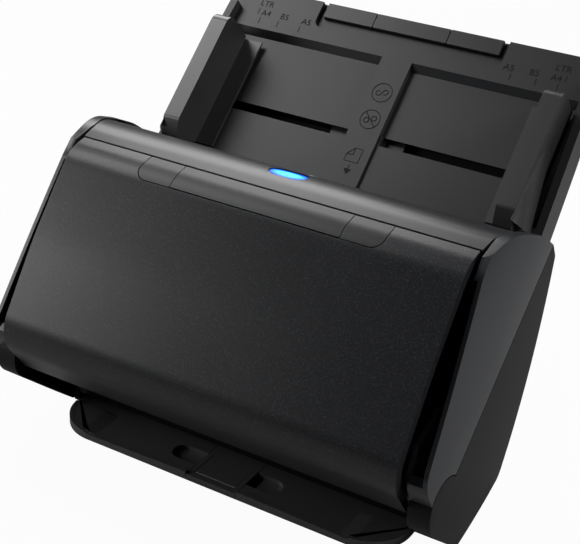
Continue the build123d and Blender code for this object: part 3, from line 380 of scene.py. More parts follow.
def make_brushed_group():
    """Fine lines along X, for drawn and rolled metal."""
    group, start, end = new_group(
        "brushed_lines",
        [
            ("Colour", "NodeSocketColor", (0.6, 0.6, 0.6, 1.0)),
            ("Roughness", "NodeSocketFloat", 0.3),
        ],
        [
            ("Colour", "NodeSocketColor"),
            ("Roughness", "NodeSocketFloat"),
            ("Height", "NodeSocketFloat"),
        ],
    )
    place = group.nodes.new("ShaderNodeTexCoord").outputs["Object"]
    stretch = group.nodes.new("ShaderNodeMapping")
    stretch.inputs["Scale"].default_value = (0.04, 1.0, 1.0)
    group.links.new(place, stretch.inputs["Vector"])
    lines = noise_node(group, stretch.outputs[0], 1800.0, 4.0)
    centred = math_node(group, "SUBTRACT", lines, 0.5)
    factor = math_node(group, "ADD", math_node(group, "MULTIPLY", centred, 0.35), 1.0)
    group.links.new(shade_colour(group, start.outputs["Colour"], factor), end.inputs["Colour"])
    change = math_node(group, "MULTIPLY", centred, 0.25)
    rough = math_node(group, "ADD", start.outputs["Roughness"], change)
    group.links.new(rough, end.inputs["Roughness"])
    group.links.new(lines, end.inputs["Height"])
    return group


# Materials

def rgb(colour):
    """A colour with its alpha."""
    return (*colour[:3], 1.0)


def principled(name):
    """A new material, with its tree and its Principled shader."""
    material = bpy.data.materials.new(name)
    material.use_nodes = True
    return material, material.node_tree, material.node_tree.nodes["Principled BSDF"]


def with_bump(tree, height, shader, strength, distance):
    """Feeds a height into the shader's normal."""
    bump = tree.nodes.new("ShaderNodeBump")
    bump.inputs["Strength"].default_value = strength
    bump.inputs["Distance"].default_value = distance
    tree.links.new(height, bump.inputs["Height"])
    tree.links.new(bump.outputs[0], shader.inputs["Normal"])


def moulded(
        name, colour, roughness, grain=2200.0, fleck=0.1, drift=0.12, depth=0.02,
        specular=0.5, specks=0.0):
    """Moulded plastic with its own grain."""
    material, tree, shader = principled(name)
    group = tree.nodes.new("ShaderNodeGroup")
    group.node_tree = bpy.data.node_groups["moulded_grain"]
    group.inputs["Colour"].default_value = rgb(colour)
    group.inputs["Grain Scale"].default_value = grain
    group.inputs["Fleck"].default_value = fleck
    group.inputs["Drift"].default_value = drift
    group.inputs["Roughness"].default_value = roughness
    group.inputs["Specks"].default_value = specks
    tree.links.new(group.outputs["Colour"], shader.inputs["Base Color"])
    tree.links.new(group.outputs["Roughness"], shader.inputs["Roughness"])
    with_bump(tree, group.outputs["Height"], shader, 0.6, depth * MM)
    shader.inputs["Specular IOR Level"].default_value = specular
    return material


def metal(name, colour, roughness):
    """Brushed or plated metal."""
    material, tree, shader = principled(name)
    group = tree.nodes.new("ShaderNodeGroup")
    group.node_tree = bpy.data.node_groups["brushed_lines"]
    group.inputs["Colour"].default_value = rgb(colour)
    group.inputs["Roughness"].default_value = roughness
    tree.links.new(group.outputs["Colour"], shader.inputs["Base Color"])
    tree.links.new(group.outputs["Roughness"], shader.inputs["Roughness"])
    with_bump(tree, group.outputs["Height"], shader, 0.4, 0.01 * MM)
    shader.inputs["Metallic"].default_value = 1.0
    return material


def clear_glass(name):
    """The sheet glass of a scan unit."""
    material, tree, shader = principled(name)
    shader.inputs["Base Color"].default_value = (0.80, 0.92, 0.90, 1.0)
    shader.inputs["Transmission Weight"].default_value = 1.0
    shader.inputs["IOR"].default_value = 1.5
    place = tree.nodes.new("ShaderNodeTexCoord").outputs["Object"]
    smears = noise_node(tree, place, 60.0, 3.0)
    tree.links.new(math_node(tree, "MULTIPLY", smears, 0.08), shader.inputs["Roughness"])
    return material


def circuit_board(name):
    """Green solder mask over straight copper tracks."""
    material, tree, shader = principled(name)
    place = tree.nodes.new("ShaderNodeTexCoord").outputs["Object"]
    tracks = tree.nodes.new("ShaderNodeTexBrick")
    tracks.inputs["Scale"].default_value = 160.0
    tracks.inputs["Mortar Size"].default_value = 0.06
    tracks.inputs["Color1"].default_value = (0.010, 0.085, 0.035, 1.0)
    tracks.inputs["Color2"].default_value = (0.014, 0.105, 0.045, 1.0)
    tracks.inputs["Mortar"].default_value = (0.040, 0.200, 0.090, 1.0)
    tree.links.new(place, tracks.inputs["Vector"])
    tree.links.new(tracks.outputs["Color"], shader.inputs["Base Color"])
    with_bump(tree, tracks.outputs["Fac"], shader, 0.3, 0.03 * MM)
    shader.inputs["Roughness"].default_value = 0.35
    return material


def lit_lens(name, centre, half_length, half_width):
    """Power button: bright in the middle and deep blue at its rim."""
    material, tree, shader = principled(name)
    place = tree.nodes.new("ShaderNodeTexCoord").outputs["Object"]
    fit = tree.nodes.new("ShaderNodeMapping")
    fit.vector_type = "TEXTURE"
    fit.inputs["Location"].default_value = centre
    fit.inputs["Scale"].default_value = (half_length, half_width, 10.0)
    tree.links.new(place, fit.inputs["Vector"])
    glow = tree.nodes.new("ShaderNodeTexGradient")
    glow.gradient_type = "SPHERICAL"
    tree.links.new(fit.outputs[0], glow.inputs["Vector"])
    ramp = tree.nodes.new("ShaderNodeValToRGB")
    ramp.color_ramp.elements[0].position = 0.0
    ramp.color_ramp.elements[0].color = (0.0, 0.010, 0.16, 1.0)
    ramp.color_ramp.elements[1].position = 0.62
    ramp.color_ramp.elements[1].color = (0.07, 0.55, 1.0, 1.0)
    middle = ramp.color_ramp.elements.new(0.22)
    middle.color = (0.0, 0.09, 0.72, 1.0)
    tree.links.new(glow.outputs["Fac"], ramp.inputs["Fac"])
    tree.links.new(ramp.outputs["Color"], shader.inputs["Emission Color"])
    tree.links.new(ramp.outputs["Color"], shader.inputs["Base Color"])
    shader.inputs["Emission Strength"].default_value = 1.5
    shader.inputs["Roughness"].default_value = 0.42
    shader.inputs["Specular IOR Level"].default_value = 0.25
    return material


def make_materials():
    """Every finish of the machine, by name."""
    settings = bpy.context.scene.scanner_finish
    shell = settings.shell_colour
    tray = settings.tray_colour
    button = at(0, 57, 181)
    return {
        "cover": moulded("speckled_cover", shell, 0.35, 1250.0, 1.6, 0.2, 0.12, 0.5, 2.5),
        "strip": moulded("satin_strip", shell, 0.36, 2200.0, 0.4, 0.15, 0.01, 0.6),
        "panel": moulded("panel_satin", shell, 0.40, 1700.0, 0.8, 0.15, 0.02, 0.5),
        "side": moulded("side_satin", (0.011, 0.012, 0.0145), 0.33, 2200.0, 0.25, 0.1, 0.01, 0.62),
        "rear": moulded("rear_matte", (0.0045, 0.0045, 0.005), 0.5, 2400.0, 0.3, 0.1, 0.02, 0.2),
        "tray": moulded("tray_plastic", tray, 0.42, 2400.0, 0.25, 0.1, 0.015, 0.62),
        "grip": moulded("grip_plastic", tray, 0.38, 2400.0, 0.25, 0.1, 0.015, 0.62),
        "guide": moulded("guide_gloss", (0.012, 0.012, 0.0125), 0.38, 2000.0, 0.15, 0.1, 0.006, 0.95),
        # The eject tray's base colour is lighter than the other black plastics as painted light, standing in
        # for lamp light that doesn't reach it.
        "eject": moulded("eject_plastic_painted_light", (0.055, 0.056, 0.058), 0.40, 1100.0, 0.5, 0.2, 0.04, 1.0, 0.4),
        # The inner black is the inner parts' own colour; on faces of the tray's slot, the guides and the pan
        # it is painted shade.
        "inner": moulded("inner_black", (0.004, 0.004, 0.0042), 0.55, 1800.0, 0.2, 0.2, 0.03, 0.25),
        "mark": moulded("sunk_mark", (0.004, 0.004, 0.004), 0.6, 2400.0, 0.2, 0.1, 0.01, 0.2),
        "legend": moulded("pale_legend", (0.42, 0.43, 0.44), 0.5, 2400.0, 0.1, 0.1, 0.01, 0.3),
        "rubber": moulded("roller_rubber", (0.055, 0.056, 0.058), 0.72, 1500.0, 0.5, 0.3, 0.05, 0.3),
        "feet": moulded("foot_rubber", (0.012, 0.012, 0.012), 0.8, 1500.0, 0.4, 0.3, 0.05, 0.25),
        "acetal": moulded("acetal", (0.72, 0.71, 0.66), 0.38, 1200.0, 0.06, 0.1, 0.01, 0.5),
        "can": moulded("motor_paint", (0.02, 0.02, 0.022), 0.35, 1400.0, 0.1, 0.1, 0.01, 0.6),
        "steel": metal("drawn_steel", (0.62, 0.62, 0.63), 0.24),
        "zinc": metal("zinc_plate", (0.48, 0.49, 0.50), 0.42),
        "brass": metal("brass", (0.72, 0.52, 0.24), 0.28),
        "glass": clear_glass("scan_glass"),
        "board": circuit_board("solder_mask"),
        "lens": lit_lens("lit_lens", button, 15 * MM, 6.6 * MM),
    }


finish = {}


# Property groups

class ScannerFinish(bpy.types.PropertyGroup):
    """Colours of the mouldings."""

    shell_colour: FloatVectorProperty(
        name="Shell colour", description="Front cover, strip and control panel",
        subtype="COLOR", size=3, min=0.0, max=1.0, default=(0.0085, 0.009, 0.0105))
    tray_colour: FloatVectorProperty(
        name="Tray colour", description="Feed tray and its grips",
        subtype="COLOR", size=3, min=0.0, max=1.0, default=(0.010, 0.0102, 0.0105))


class ScannerSizes(bpy.types.PropertyGroup):
    """Sizes of the rounded edges and of the small reliefs."""

    edge: FloatProperty(
        name="Edge radius", description="Rounding of the housing's edges",
        unit="LENGTH", default=0.9 * MM, min=0.0, precision=5)
    fine_edge: FloatProperty(
        name="Fine edge radius", description="Rounding of the small pieces' edges",
        unit="LENGTH", default=0.4 * MM, min=0.0, precision=5)
    mark_width: FloatProperty(
        name="Mark width", description="Thickness of the sunk lines on the feed tray",
        unit="LENGTH", default=0.55 * MM, min=0.0, precision=5)
    screw_head: FloatProperty(
        name="Screw head", description="Radius of the rear cover's screw heads",
        unit="LENGTH", default=3.0 * MM, min=0.0, precision=5)
    tyre_radius: FloatProperty(
        name="Tyre radius", description="Radius of the driven rollers' tyres",
        unit="LENGTH", default=9.0 * MM, min=0.0, precision=5)
    tyre_length: FloatProperty(
        name="Tyre length", description="Length of the driven rollers' tyres",
        unit="LENGTH", default=24.0 * MM, min=0.0, precision=5)
    flute_depth: FloatProperty(
        name="Flute depth", description="Depth of the grooves round a tyre",
        unit="LENGTH", default=0.22 * MM, min=0.0, precision=5)
    flutes: IntProperty(
        name="Flutes", description="Grooves round a tyre", default=36, min=8, max=90)
    segments: IntProperty(
        name="Edge segments", description="Faces across a rounded edge", default=2, min=1, max=6)


# Geometry Nodes trees

def fluted_tyre_tree(material):
    """A closed tyre on each point, lying across the width, with grooves along it."""
    tree, start, end = repeat_tree(
        "fluted_tyre", {"Radius": 9.0 * MM, "Length": 24.0 * MM, "Flutes": 36, "Flute Depth": 0.2 * MM})
    circle = geometry_node(
        tree, "GeometryNodeMeshCircle", {"fill_type": "NGON"},
        {"Vertices": 216, "Radius": start.outputs["Radius"]})
    place = geometry_node(tree, "GeometryNodeInputPosition")
    parts = geometry_node(tree, "ShaderNodeSeparateXYZ", links={"Vector": place.outputs[0]})
    turn = geometry_node(
        tree, "ShaderNodeMath", {"operation": "ARCTAN2"}, {0: parts.outputs[1], 1: parts.outputs[0]})
    times = geometry_node(
        tree, "ShaderNodeMath", {"operation": "MULTIPLY"}, {0: turn.outputs[0], 1: start.outputs["Flutes"]})
    wave = geometry_node(tree, "ShaderNodeMath", {"operation": "COSINE"}, {0: times.outputs[0]})
    dip = geometry_node(
        tree, "ShaderNodeMath", {"operation": "MULTIPLY_ADD", "use_clamp": True},
        {0: wave.outputs[0], 1: 0.9, 2: 0.2})
    depth = geometry_node(
        tree, "ShaderNodeMath", {"operation": "MULTIPLY"},
        {0: dip.outputs[0], 1: start.outputs["Flute Depth"]})
    share = geometry_node(
        tree, "ShaderNodeMath", {"operation": "DIVIDE"}, {0: depth.outputs[0], 1: start.outputs["Radius"]})
    inward = geometry_node(
        tree, "ShaderNodeVectorMath", {"operation": "SCALE"},
        {0: place.outputs[0], "Scale": geometry_node(
            tree, "ShaderNodeMath", {"operation": "MULTIPLY"}, {0: share.outputs[0], 1: -1.0}).outputs[0]})
    fluted = geometry_node(
        tree, "GeometryNodeSetPosition", links={"Geometry": circle.outputs[0], "Offset": inward.outputs[0]})
    tyre = geometry_node(
        tree, "GeometryNodeExtrudeMesh", {"mode": "FACES"},
        {"Mesh": fluted.outputs[0], "Offset Scale": start.outputs["Length"], "Individual": False})
    base = geometry_node(tree, "GeometryNodeFlipFaces", links={"Mesh": fluted.outputs[0]})
    closed = geometry_node(tree, "GeometryNodeJoinGeometry")
    tree.links.new(tyre.outputs[0], closed.inputs[0])
    tree.links.new(base.outputs[0], closed.inputs[0])
    welded = geometry_node(
        tree, "GeometryNodeMergeByDistance", links={"Geometry": closed.outputs[0], "Distance": 1e-6})
    half = geometry_node(
        tree, "ShaderNodeMath", {"operation": "MULTIPLY"}, {0: start.outputs["Length"], 1: -0.5})
    back = geometry_node(tree, "ShaderNodeCombineXYZ", links={"Z": half.outputs[0]})
    centred = geometry_node(
        tree, "GeometryNodeTransform", links={"Geometry": welded.outputs[0], "Translation": back.outputs[0]})
    copies = geometry_node(
        tree, "GeometryNodeInstanceOnPoints",
        links={"Points": start.outputs["Geometry"], "Instance": centred.outputs[0],
               "Rotation": (0.0, math.radians(90), 0.0)})
    close_tree(tree, copies.outputs[0], end, material)
    return tree


def screw_tree(material):
    """A domed head with a cross recess on each point, facing the way the point says."""
    tree, start, end = repeat_tree("cross_head_screw", {"Radius": 3.0 * MM})
    dome = geometry_node(
        tree, "GeometryNodeMeshUVSphere",
        links={"Segments": 40, "Rings": 20, "Radius": start.outputs["Radius"]})
    low = geometry_node(
        tree, "GeometryNodeTransform", links={"Geometry": dome.outputs[0], "Scale": (1.0, 1.0, 0.42)})
    head = low.outputs[0]
    for width, length in ((0.8 * MM, 3.2 * MM), (3.2 * MM, 0.8 * MM)):
        slot = geometry_node(
            tree, "GeometryNodeMeshCube", links={"Size": (width, length, 2.0 * MM)})
        raised = geometry_node(
            tree, "GeometryNodeTransform",
            links={"Geometry": slot.outputs[0], "Translation": (0.0, 0.0, 1.55 * MM)})
        cut = geometry_node(
            tree, "GeometryNodeMeshBoolean", {"operation": "DIFFERENCE", "solver": "EXACT"},
            {"Mesh 1": head, "Mesh 2": raised.outputs[0]})
        head = cut.outputs[0]
    facing = geometry_node(
        tree, "GeometryNodeInputNamedAttribute", {"data_type": "FLOAT_VECTOR"}, {"Name": "facing"})
    turn = geometry_node(
        tree, "FunctionNodeAlignRotationToVector", {"axis": "Z"}, {"Vector": facing.outputs[0]})
    copies = geometry_node(
        tree, "GeometryNodeInstanceOnPoints",
        links={"Points": start.outputs["Geometry"], "Instance": head, "Rotation": turn.outputs[0]})
    close_tree(tree, copies.outputs[0], end, material)
    return tree


def tick_tree(material):
    """A sunk line on each point, running along the sheet."""
    tree, start, end = repeat_tree("size_tick", {"Width": 0.5 * MM, "Length": 4.5 * MM})
    size = geometry_node(
        tree, "ShaderNodeCombineXYZ",
        links={"X": start.outputs["Width"], "Y": start.outputs["Length"], "Z": MARK_DEPTH})
    line = geometry_node(tree, "GeometryNodeMeshCube", links={"Size": size.outputs[0]})
    copies = geometry_node(
        tree, "GeometryNodeInstanceOnPoints",
        links={"Points": start.outputs["Geometry"], "Instance": line.outputs[0],
               "Rotation": (PATH_TILT, 0.0, 0.0)})
    close_tree(tree, copies.outputs[0], end, material)
    return tree


# Operators

class SCANNER_OT_finishes(bpy.types.Operator):
    """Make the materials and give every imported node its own"""

    bl_idname = "scanner.finishes"
    bl_label = "Finishes"

    def execute(self, context):
        make_grain_group()
        make_brushed_group()
        finish.update(make_materials())
        kinds = {
            "inner": ("front_frame", "front_guide_plate", "front_scan_unit", "rear_scan_unit",
                      "base_pan", "rear_guide_plate", "power_inlet"),
            "glass": ("front_scan_glass", "rear_scan_glass"),
            "board": ("operation_board", "main_board"),
            "steel": ("feed_roller_shaft", "middle_roller_shaft", "exit_roller_shaft", "retard_shaft",
                      "middle_pinch_shaft", "exit_pinch_shaft", "idler_studs", "hinge_pins"),
            "zinc": ("right_side_plate", "left_side_plate", "hinge_arms", "data_socket"),
            "rubber": ("feed_roller_tyres", "middle_roller_tyres", "exit_roller_tyres", "retard_tyres",
                       "middle_pinch_tyres", "exit_pinch_tyres"),
            "acetal": ("feed_roller_gear", "middle_roller_gear", "exit_roller_gear", "first_idler_gear",
                       "second_idler_gear", "guide_pinion", "roller_bushes"),
            "brass": ("motor_pinion",),
            "can": ("drive_motor",),
        }
        for kind, nodes in kinds.items():
            for node in nodes:
                dress(frame["nodes"][node], finish[kind])
        return {"FINISHED"}


class SCANNER_OT_housing(bpy.types.Operator):
    """Front cover, top cover and side covers with rounded edges"""

    bl_idname = "scanner.housing"
    bl_label = "Housing"

    def execute(self, context):
        sizes = context.scene.scanner_sizes
        for node, kind in (
            ("front_cover", "cover"), ("top_cover", "strip"),
            ("right_front_side", "side"), ("left_front_side", "side"),
            ("right_rear_side", "rear"), ("left_rear_side", "rear"), ("rear_cover", "rear"),
        ):
            softened(node, sizes.edge, finish[kind], sizes.segments)
        return {"FINISHED"}


class SCANNER_OT_panel(bpy.types.Operator):
    """Release lever, keys and the lit power button"""

    bl_idname = "scanner.panel"
    bl_label = "Control panel"

    def execute(self, context):
        sizes = context.scene.scanner_sizes
        for node in ("release_lever", "right_key", "left_key"):
            softened(node, sizes.fine_edge, finish["panel"], sizes.segments)
        softened("power_button", sizes.fine_edge, finish["lens"], 3)
        self.power_mark()
        return {"FINISHED"}

    def power_mark(self):
        """A small ring with a stroke, printed on the top cover behind the button."""
        cover = frame["nodes"]["top_cover"]
        surface = BVHTree.FromPolygons(
            [vertex.co.copy() for vertex in cover.data.vertices],
            [tuple(face.vertices) for face in cover.data.polygons])
        middle_x, middle_y = POWER_MARK
        ring = [
            (middle_x + POWER_RING * math.sin(turn), middle_y + POWER_RING * math.cos(turn))
            for turn in (math.radians(35 + 290 * k / 24) for k in range(25))
        ]
        curve = bpy.data.curves.new("power_mark", "CURVE")
        curve.dimensions = "3D"
        curve.bevel_depth = 0.16 * MM
        curve.bevel_resolution = 1
        curve.use_fill_caps = True
        for line in (ring, [(middle_x, middle_y + 0.2), (middle_x, middle_y + 2.0)]):
            spline = curve.splines.new("POLY")
            spline.points.add(len(line) - 1)
            for spot, (x, y) in zip(spline.points, line):
                hit = surface.ray_cast(at(x, y, 260), Vector((0, 0, -1)))[0]
                spot.co = (*hit, 1.0)
        holder = bpy.data.objects.new("power_mark", curve)
        bpy.context.scene.collection.objects.link(holder)
        mesh = bpy.data.meshes.new_from_object(
            holder.evaluated_get(bpy.context.evaluated_depsgraph_get()))
        bpy.data.objects.remove(holder)
        bpy.data.curves.remove(curve)
        piece = link("power_mark", mesh)
        dress(piece, finish["legend"])
        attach(piece, "front_unit")


class SCANNER_OT_trays(bpy.types.Operator):
    """Feed tray, guides, extension and eject tray with rounded edges"""

    bl_idname = "scanner.trays"
    bl_label = "Trays"

    def execute(self, context):
        sizes = context.scene.scanner_sizes
        # The third column picks the faces that get the inner black as painted shade.
        for node, kind, shade_test in (
            ("feed_tray", "tray", in_slot), ("tray_back", "tray", inside_pan),
            ("tray_extension", "grip", None), ("extension_tip", "grip", None),
            ("right_guide", "guide", under_sheet), ("left_guide", "guide", under_sheet),
            ("eject_extension", "eject", None), ("eject_stopper", "eject", None),
        ):
            softened(node, sizes.fine_edge, finish[kind], sizes.segments, shade_test=shade_test)
        softened("eject_tray", sizes.fine_edge, finish["eject"], sizes.segments, level_steps)
        softened("rubber_feet", sizes.fine_edge, finish["feet"], 2)
        for side in (-1, 1):
            self.raised_end(side)
        return {"FINISHED"}

    def raised_end(self, side):
        """The higher end of the eject tray, with the slope that leads up to it."""
        inner, shelf, outer = EJECT_HALF - 32.0, EJECT_HALF - 23.0, EJECT_HALF - 2.2
        front, rear = EJECT_FRONT + 2.2, EJECT_FRONT + 25.0
        radius = 24.8
        rim = [(inner, front), (shelf, front)]
        rim += [
            (outer - radius + radius * math.sin(turn), front + radius - radius * math.cos(turn))
            for turn in (math.radians(90 * k / 12) for k in range(13))
        ]
        rim += [(outer, rear), (shelf, rear), (inner, rear)]
        form = bmesh.new()
        low = [form.verts.new(at(side * x, y, EJECT_TOP - 0.3)) for x, y in rim]
        rise = {inner: 0.02}
        high = [form.verts.new(at(side * x, y, EJECT_TOP + rise.get(x, 1.25))) for x, y in rim]
        count = len(rim)
        form.faces.new(low)
        form.faces.new([high[0], high[1], high[-2], high[-1]])
        form.faces.new(high[1:-1])
        for k in range(count):
            form.faces.new((low[k], low[(k + 1) % count], high[(k + 1) % count], high[k]))
        bmesh.ops.recalc_face_normals(form, faces=form.faces)
        mesh = bpy.data.meshes.new("eject_end")
        form.to_mesh(mesh)
        form.free()
        piece = link("eject_end_" + ("right" if side > 0 else "left"), mesh)
        smooth_by_angle(mesh, 5.0)
        dress(piece, finish["eject"])
        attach(piece, "eject_tray")


def level_steps(mesh):
    """Lowers the eject tray's narrow steps, which the raised ends stand for."""
    for vertex in mesh.vertices:
        inside = EJECT_HALF - 37.0 < abs(vertex.co.x) / MM < EJECT_HALF - 26.0
        if inside and vertex.co.z / MM > EJECT_TOP + 0.5:
            vertex.co.z = (EJECT_TOP - 0.02) * MM


class SCANNER_OT_rollers(bpy.types.Operator):
    """Fluted tyres of the driven rollers and the screws of the rear cover"""

    bl_idname = "scanner.rollers"
    bl_label = "Tyres and screws"

    def execute(self, context):
        sizes = context.scene.scanner_sizes
        tree = fluted_tyre_tree(finish["rubber"])
        values = {
            "Radius": sizes.tyre_radius, "Length": sizes.tyre_length,
            "Flutes": sizes.flutes, "Flute Depth": sizes.flute_depth,
        }
        for name in ("feed", "middle", "exit"):
            node = name + "_roller_tyres"
            pos = joints[name + "_spin"]["pos_m"]
            middles = [Vector((x * MM, pos[1], pos[2])) for x in TYRE_PLACES]
            piece = grown(name + "_fluted_tyres", middles, tree, values)
            smooth_by_angle(piece.data, 40)
            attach(piece, frame["nodes"][node]["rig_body"])
            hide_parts(node)
        self.screws(sizes)
        return {"FINISHED"}

    def screws(self, sizes):
        """Cross head screws in the rear cover."""
        rise = (BACK_TOP[1] - BASE_CLEAR) * MM
        run = (BACK_TOP[0] - BASE_REAR) * MM
        facing = Vector((0, rise, -run)).normalized()
        places = []
        for x, z in SCREW_PLACES:
            share = (z - BASE_CLEAR) / (BACK_TOP[1] - BASE_CLEAR)
            y = BASE_REAR + (BACK_TOP[0] - BASE_REAR) * share
            places.append(at(x, y, z) - facing * 0.3 * MM)
        tree = screw_tree(finish["zinc"])
        facings = [facing] * len(places)
        piece = grown("cross_head_screws", places, tree, {"Radius": sizes.screw_head}, facings)
        smooth_by_angle(piece.data, 40)
        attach(piece, "main_unit")
        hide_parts("cover_screws")


def tube(name, paths, radius):
    """One mesh of round lines in the sheet's plane; a path is a list of (x, s) and closed or not."""
    curve = bpy.data.curves.new(name, "CURVE")
    curve.dimensions = "3D"
    curve.bevel_depth = radius
    curve.bevel_resolution = 2
    curve.use_fill_caps = True
    for points, closed in paths:
        spline = curve.splines.new("POLY")
        spline.points.add(len(points) - 1)
        for spot, (x, s) in zip(spline.points, points):
            spot.co = (x * MM, s * MM, 0.0, 1.0)
        spline.use_cyclic_u = closed
    holder = bpy.data.objects.new(name, curve)
    bpy.context.scene.collection.objects.link(holder)
    mesh = bpy.data.meshes.new_from_object(
        holder.evaluated_get(bpy.context.evaluated_depsgraph_get()))
    bpy.data.objects.remove(holder)
    bpy.data.curves.remove(curve)
    mesh.transform(SHEET)
    return mesh


def arc(x, s, radius, first=0.0, last=360.0, steps=40):
    """Points of a circle or an arc in the sheet's plane."""
    count = steps if abs(last - first) >= 360.0 else steps + 1
    turns = [math.radians(first + (last - first) * k / steps) for k in range(count)]
    return [(x + radius * math.cos(turn), s + radius * math.sin(turn)) for turn in turns]


def clip_shape(x, s):
    """A bent wire clip, drawn as two linked half loops."""
    first = arc(x - 2.2, s - 0.6, 1.7, 60, 330, 18)
    second = arc(x + 2.2, s + 0.6, 1.7, 150, -120, 18)
    return first + second


class SCANNER_OT_tray_marks(bpy.types.Operator):
    """Sunk size marks, size names and pictograms of the feed tray"""

    bl_idname = "scanner.tray_marks"
    bl_label = "Tray marks"

    def execute(self, context):
        width = context.scene.scanner_sizes.mark_width
        marks = [(arc(0, place, SIGN_RADIUS), True) for place in (CLIP_SIGN, PAIR_SIGN)]
        marks.append((clip_shape(0, CLIP_SIGN), False))
        marks.append(([(-4.6, PAIR_SIGN + 4.6), (4.6, PAIR_SIGN - 4.6)], False))
        marks += [(arc(side * 2.3, PAIR_SIGN + side, 1.7), True) for side in (-1, 1)]
        sheet = [(-5.0, 11.6), (4.6, 11.6), (4.6, 21.2), (-0.6, 21.2), (-5.0, 16.4)]
        marks += [(sheet, True), ([(-0.6, 21.2), (-0.6, 16.4), (-5.0, 16.4)], False)]
        marks.append(([(0, 9.6), (0, 6.6)], False))
        piece = link("tray_marks", tube("tray_marks", marks, width / 2))
        dress(piece, finish["mark"])
        smooth_by_angle(piece.data, 60)
        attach(piece, "main_unit")
        self.arrow_head()
        points = [SHEET @ Vector((side * x * MM, s * MM, 0.0)) for side in (-1, 1) for x, s in TICKS]
        tick = {"Width": width, "Length": 4.6 * MM}
        ticks = grown("size_ticks", points, tick_tree(finish["mark"]), tick)
        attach(ticks, "main_unit")
        for side in (-1, 1):
            for text, x, s in SIZE_NAMES:
                self.size_name(f"{text}_{'left' if side < 0 else 'right'}", text, side * x, s)
        return {"FINISHED"}

    def arrow_head(self):
        """The filled point of the arrow that shows which way the sheets go."""
        form = bmesh.new()
        corners = ((-2.8, 6.6), (2.8, 6.6), (0.0, 2.6))
        low, high = (
            [form.verts.new(SHEET @ Vector((x * MM, s * MM, h))) for x, s in corners]
            for h in (-MARK_DEPTH / 2, MARK_DEPTH / 2)
        )
        form.faces.new(low)
        form.faces.new(high)
        for k in range(3):
            form.faces.new((low[k], low[(k + 1) % 3], high[(k + 1) % 3], high[k]))
        bmesh.ops.recalc_face_normals(form, faces=form.faces)
        mesh = bpy.data.meshes.new("arrow_head")
        form.to_mesh(mesh)
        form.free()
        piece = link("arrow_head", mesh)
        dress(piece, finish["mark"])
        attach(piece, "main_unit")

    def size_name(self, name, text, x, s):
        """One raised paper size name."""
        letters = bpy.data.curves.new(name, "FONT")
        letters.body = text
        letters.size = 6.0 * MM
        letters.align_x = "CENTER"
        letters.align_y = "CENTER"
        letters.extrude = 0.08 * MM
        holder = bpy.data.objects.new(name, letters)
        bpy.context.scene.collection.objects.link(holder)
        mesh = bpy.data.meshes.new_from_object(
            holder.evaluated_get(bpy.context.evaluated_depsgraph_get()))
        bpy.data.objects.remove(holder)
        bpy.data.curves.remove(letters)
        mesh.transform(SHEET @ Matrix.Translation((x * MM, s * MM, 0.02 * MM)))
        piece = link("size_name_" + name, mesh)
        dress(piece, finish["mark"])
        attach(piece, "main_unit")


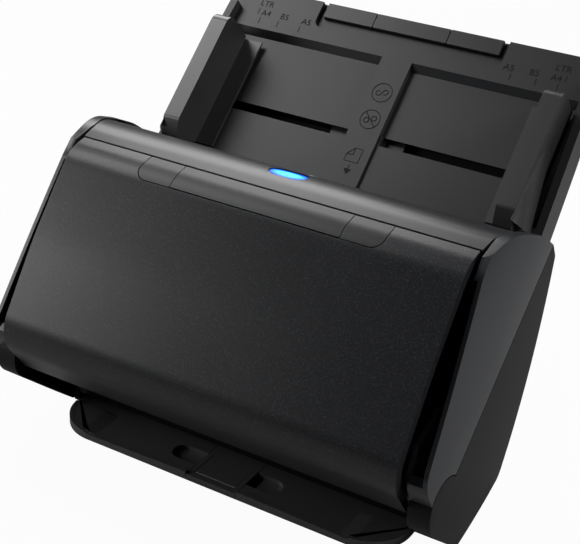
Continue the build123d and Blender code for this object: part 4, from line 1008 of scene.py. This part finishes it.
class SCANNER_OT_stage(bpy.types.Operator):
    """White floor, soft lamps and the camera"""

    bl_idname = "scanner.stage"
    bl_label = "Stage"

    def execute(self, context):
        self.floor()
        self.world()
        for lamp in LAMPS:
            self.lamp(*lamp)
        self.camera()
        context.scene.view_settings.view_transform = "Standard"
        return {"FINISHED"}

    def floor(self):
        """A large white floor that keeps the shadow."""
        mesh = bpy.data.meshes.new("floor")
        reach = FLOOR_REACH
        mesh.from_pydata(
            [(-reach, -reach, 0), (reach, -reach, 0), (reach, reach, 0), (-reach, reach, 0)],
            [], [(0, 1, 2, 3)])
        piece = link("floor", mesh)
        material = bpy.data.materials.new("white_floor")
        material.use_nodes = True
        tree = material.node_tree
        shader = tree.nodes["Principled BSDF"]
        shader.inputs["Base Color"].default_value = (FLOOR_GREY, FLOOR_GREY, FLOOR_GREY, 1.0)
        shader.inputs["Roughness"].default_value = 0.8
        glow = tree.nodes.new("ShaderNodeEmission")
        glow.inputs["Color"].default_value = (1.0, 1.0, 1.0, 1.0)
        glow.inputs["Strength"].default_value = FLOOR_GLOW
        mix = tree.nodes.new("ShaderNodeMixShader")
        glowing = math_node(tree, "MULTIPLY", self.seen_directly(tree), FLOOR_SHARE)
        tree.links.new(glowing, mix.inputs["Fac"])
        tree.links.new(shader.outputs[0], mix.inputs[1])
        tree.links.new(glow.outputs[0], mix.inputs[2])
        tree.links.new(mix.outputs[0], tree.nodes["Material Output"].inputs["Surface"])
        dress(piece, material)

    def seen_directly(self, tree):
        """1 for rays from the camera or through glass."""
        rays = tree.nodes.new("ShaderNodeLightPath").outputs
        return math_node(tree, "MAXIMUM", rays["Is Camera Ray"], rays["Is Transmission Ray"])

    def world(self):
        """An even, dim room, white where the camera sees it."""
        world = bpy.data.worlds.new("room")
        bpy.context.scene.world = world
        world.use_nodes = True
        tree = world.node_tree
        room = tree.nodes["Background"]
        room.inputs["Color"].default_value = ROOM_COLOUR
        white = tree.nodes.new("ShaderNodeBackground")
        white.inputs["Color"].default_value = (1.0, 1.0, 1.0, 1.0)
        mix = tree.nodes.new("ShaderNodeMixShader")
        tree.links.new(self.seen_directly(tree), mix.inputs["Fac"])
        tree.links.new(room.outputs[0], mix.inputs[1])
        tree.links.new(white.outputs[0], mix.inputs[2])
        tree.links.new(mix.outputs[0], tree.nodes["World Output"].inputs["Surface"])

    def lamp(self, name, place, target, size, power):
        """A square softbox turned to a point."""
        light = bpy.data.lights.new(name, "AREA")
        light.shape = "SQUARE"
        light.size = size
        light.energy = power
        holder = bpy.data.objects.new(name, light)
        bpy.context.scene.collection.objects.link(holder)
        holder.location = place
        holder.rotation_mode = "QUATERNION"
        holder.rotation_quaternion = (Vector(target) - Vector(place)).to_track_quat("-Z", "Y")

    def camera(self):
        """The photograph's camera: above and to the right of the front, a little rolled."""
        azimuth = math.radians(CAMERA_AZIMUTH)
        elevation = math.radians(CAMERA_ELEVATION)
        roll = math.radians(CAMERA_ROLL)
        data = bpy.data.cameras.new("camera")
        data.lens = CAMERA_LENS
        data.sensor_width = 36.0
        data.clip_start = 0.01
        holder = bpy.data.objects.new("camera", data)
        bpy.context.scene.collection.objects.link(holder)
        turn = (
            Matrix.Rotation(azimuth, 4, "Z")
            @ Matrix.Rotation(math.radians(90) - elevation, 4, "X")
            @ Matrix.Rotation(roll, 4, "Z")
        )
        holder.matrix_world = Matrix.Translation(at(*CAMERA_PLACE)) @ turn
        bpy.context.scene.camera = holder


class SCANNER_PT_panel(bpy.types.Panel):
    """The scanner's sizes, colours and steps"""

    bl_idname = "SCANNER_PT_panel"
    bl_label = "Document scanner"
    bl_space_type = "VIEW_3D"
    bl_region_type = "UI"
    bl_category = "Scanner"

    def draw(self, context):
        for group in (context.scene.scanner_finish, context.scene.scanner_sizes):
            for name in group.bl_rna.properties.keys():
                if name not in ("rna_type", "name"):
                    self.layout.prop(group, name)
        for step in STEPS:
            self.layout.operator(step.bl_idname)


STEPS = (
    SCANNER_OT_stage,
    SCANNER_OT_finishes,
    SCANNER_OT_housing,
    SCANNER_OT_panel,
    SCANNER_OT_trays,
    SCANNER_OT_rollers,
    SCANNER_OT_tray_marks,
)
CLASSES = (ScannerFinish, ScannerSizes, *STEPS, SCANNER_PT_panel)


def register():
    for kind in CLASSES:
        bpy.utils.register_class(kind)
    bpy.types.Scene.scanner_finish = PointerProperty(type=ScannerFinish)
    bpy.types.Scene.scanner_sizes = PointerProperty(type=ScannerSizes)


def unregister():
    del bpy.types.Scene.scanner_sizes
    del bpy.types.Scene.scanner_finish
    for kind in reversed(CLASSES):
        bpy.utils.unregister_class(kind)


def main():
    """Runs the steps in order."""
    register()
    bpy.ops.scanner.stage()
    bpy.ops.scanner.finishes()
    bpy.ops.scanner.housing()
    bpy.ops.scanner.panel()
    bpy.ops.scanner.trays()
    bpy.ops.scanner.rollers()
    bpy.ops.scanner.tray_marks()


if __name__ == "__main__":
    main()
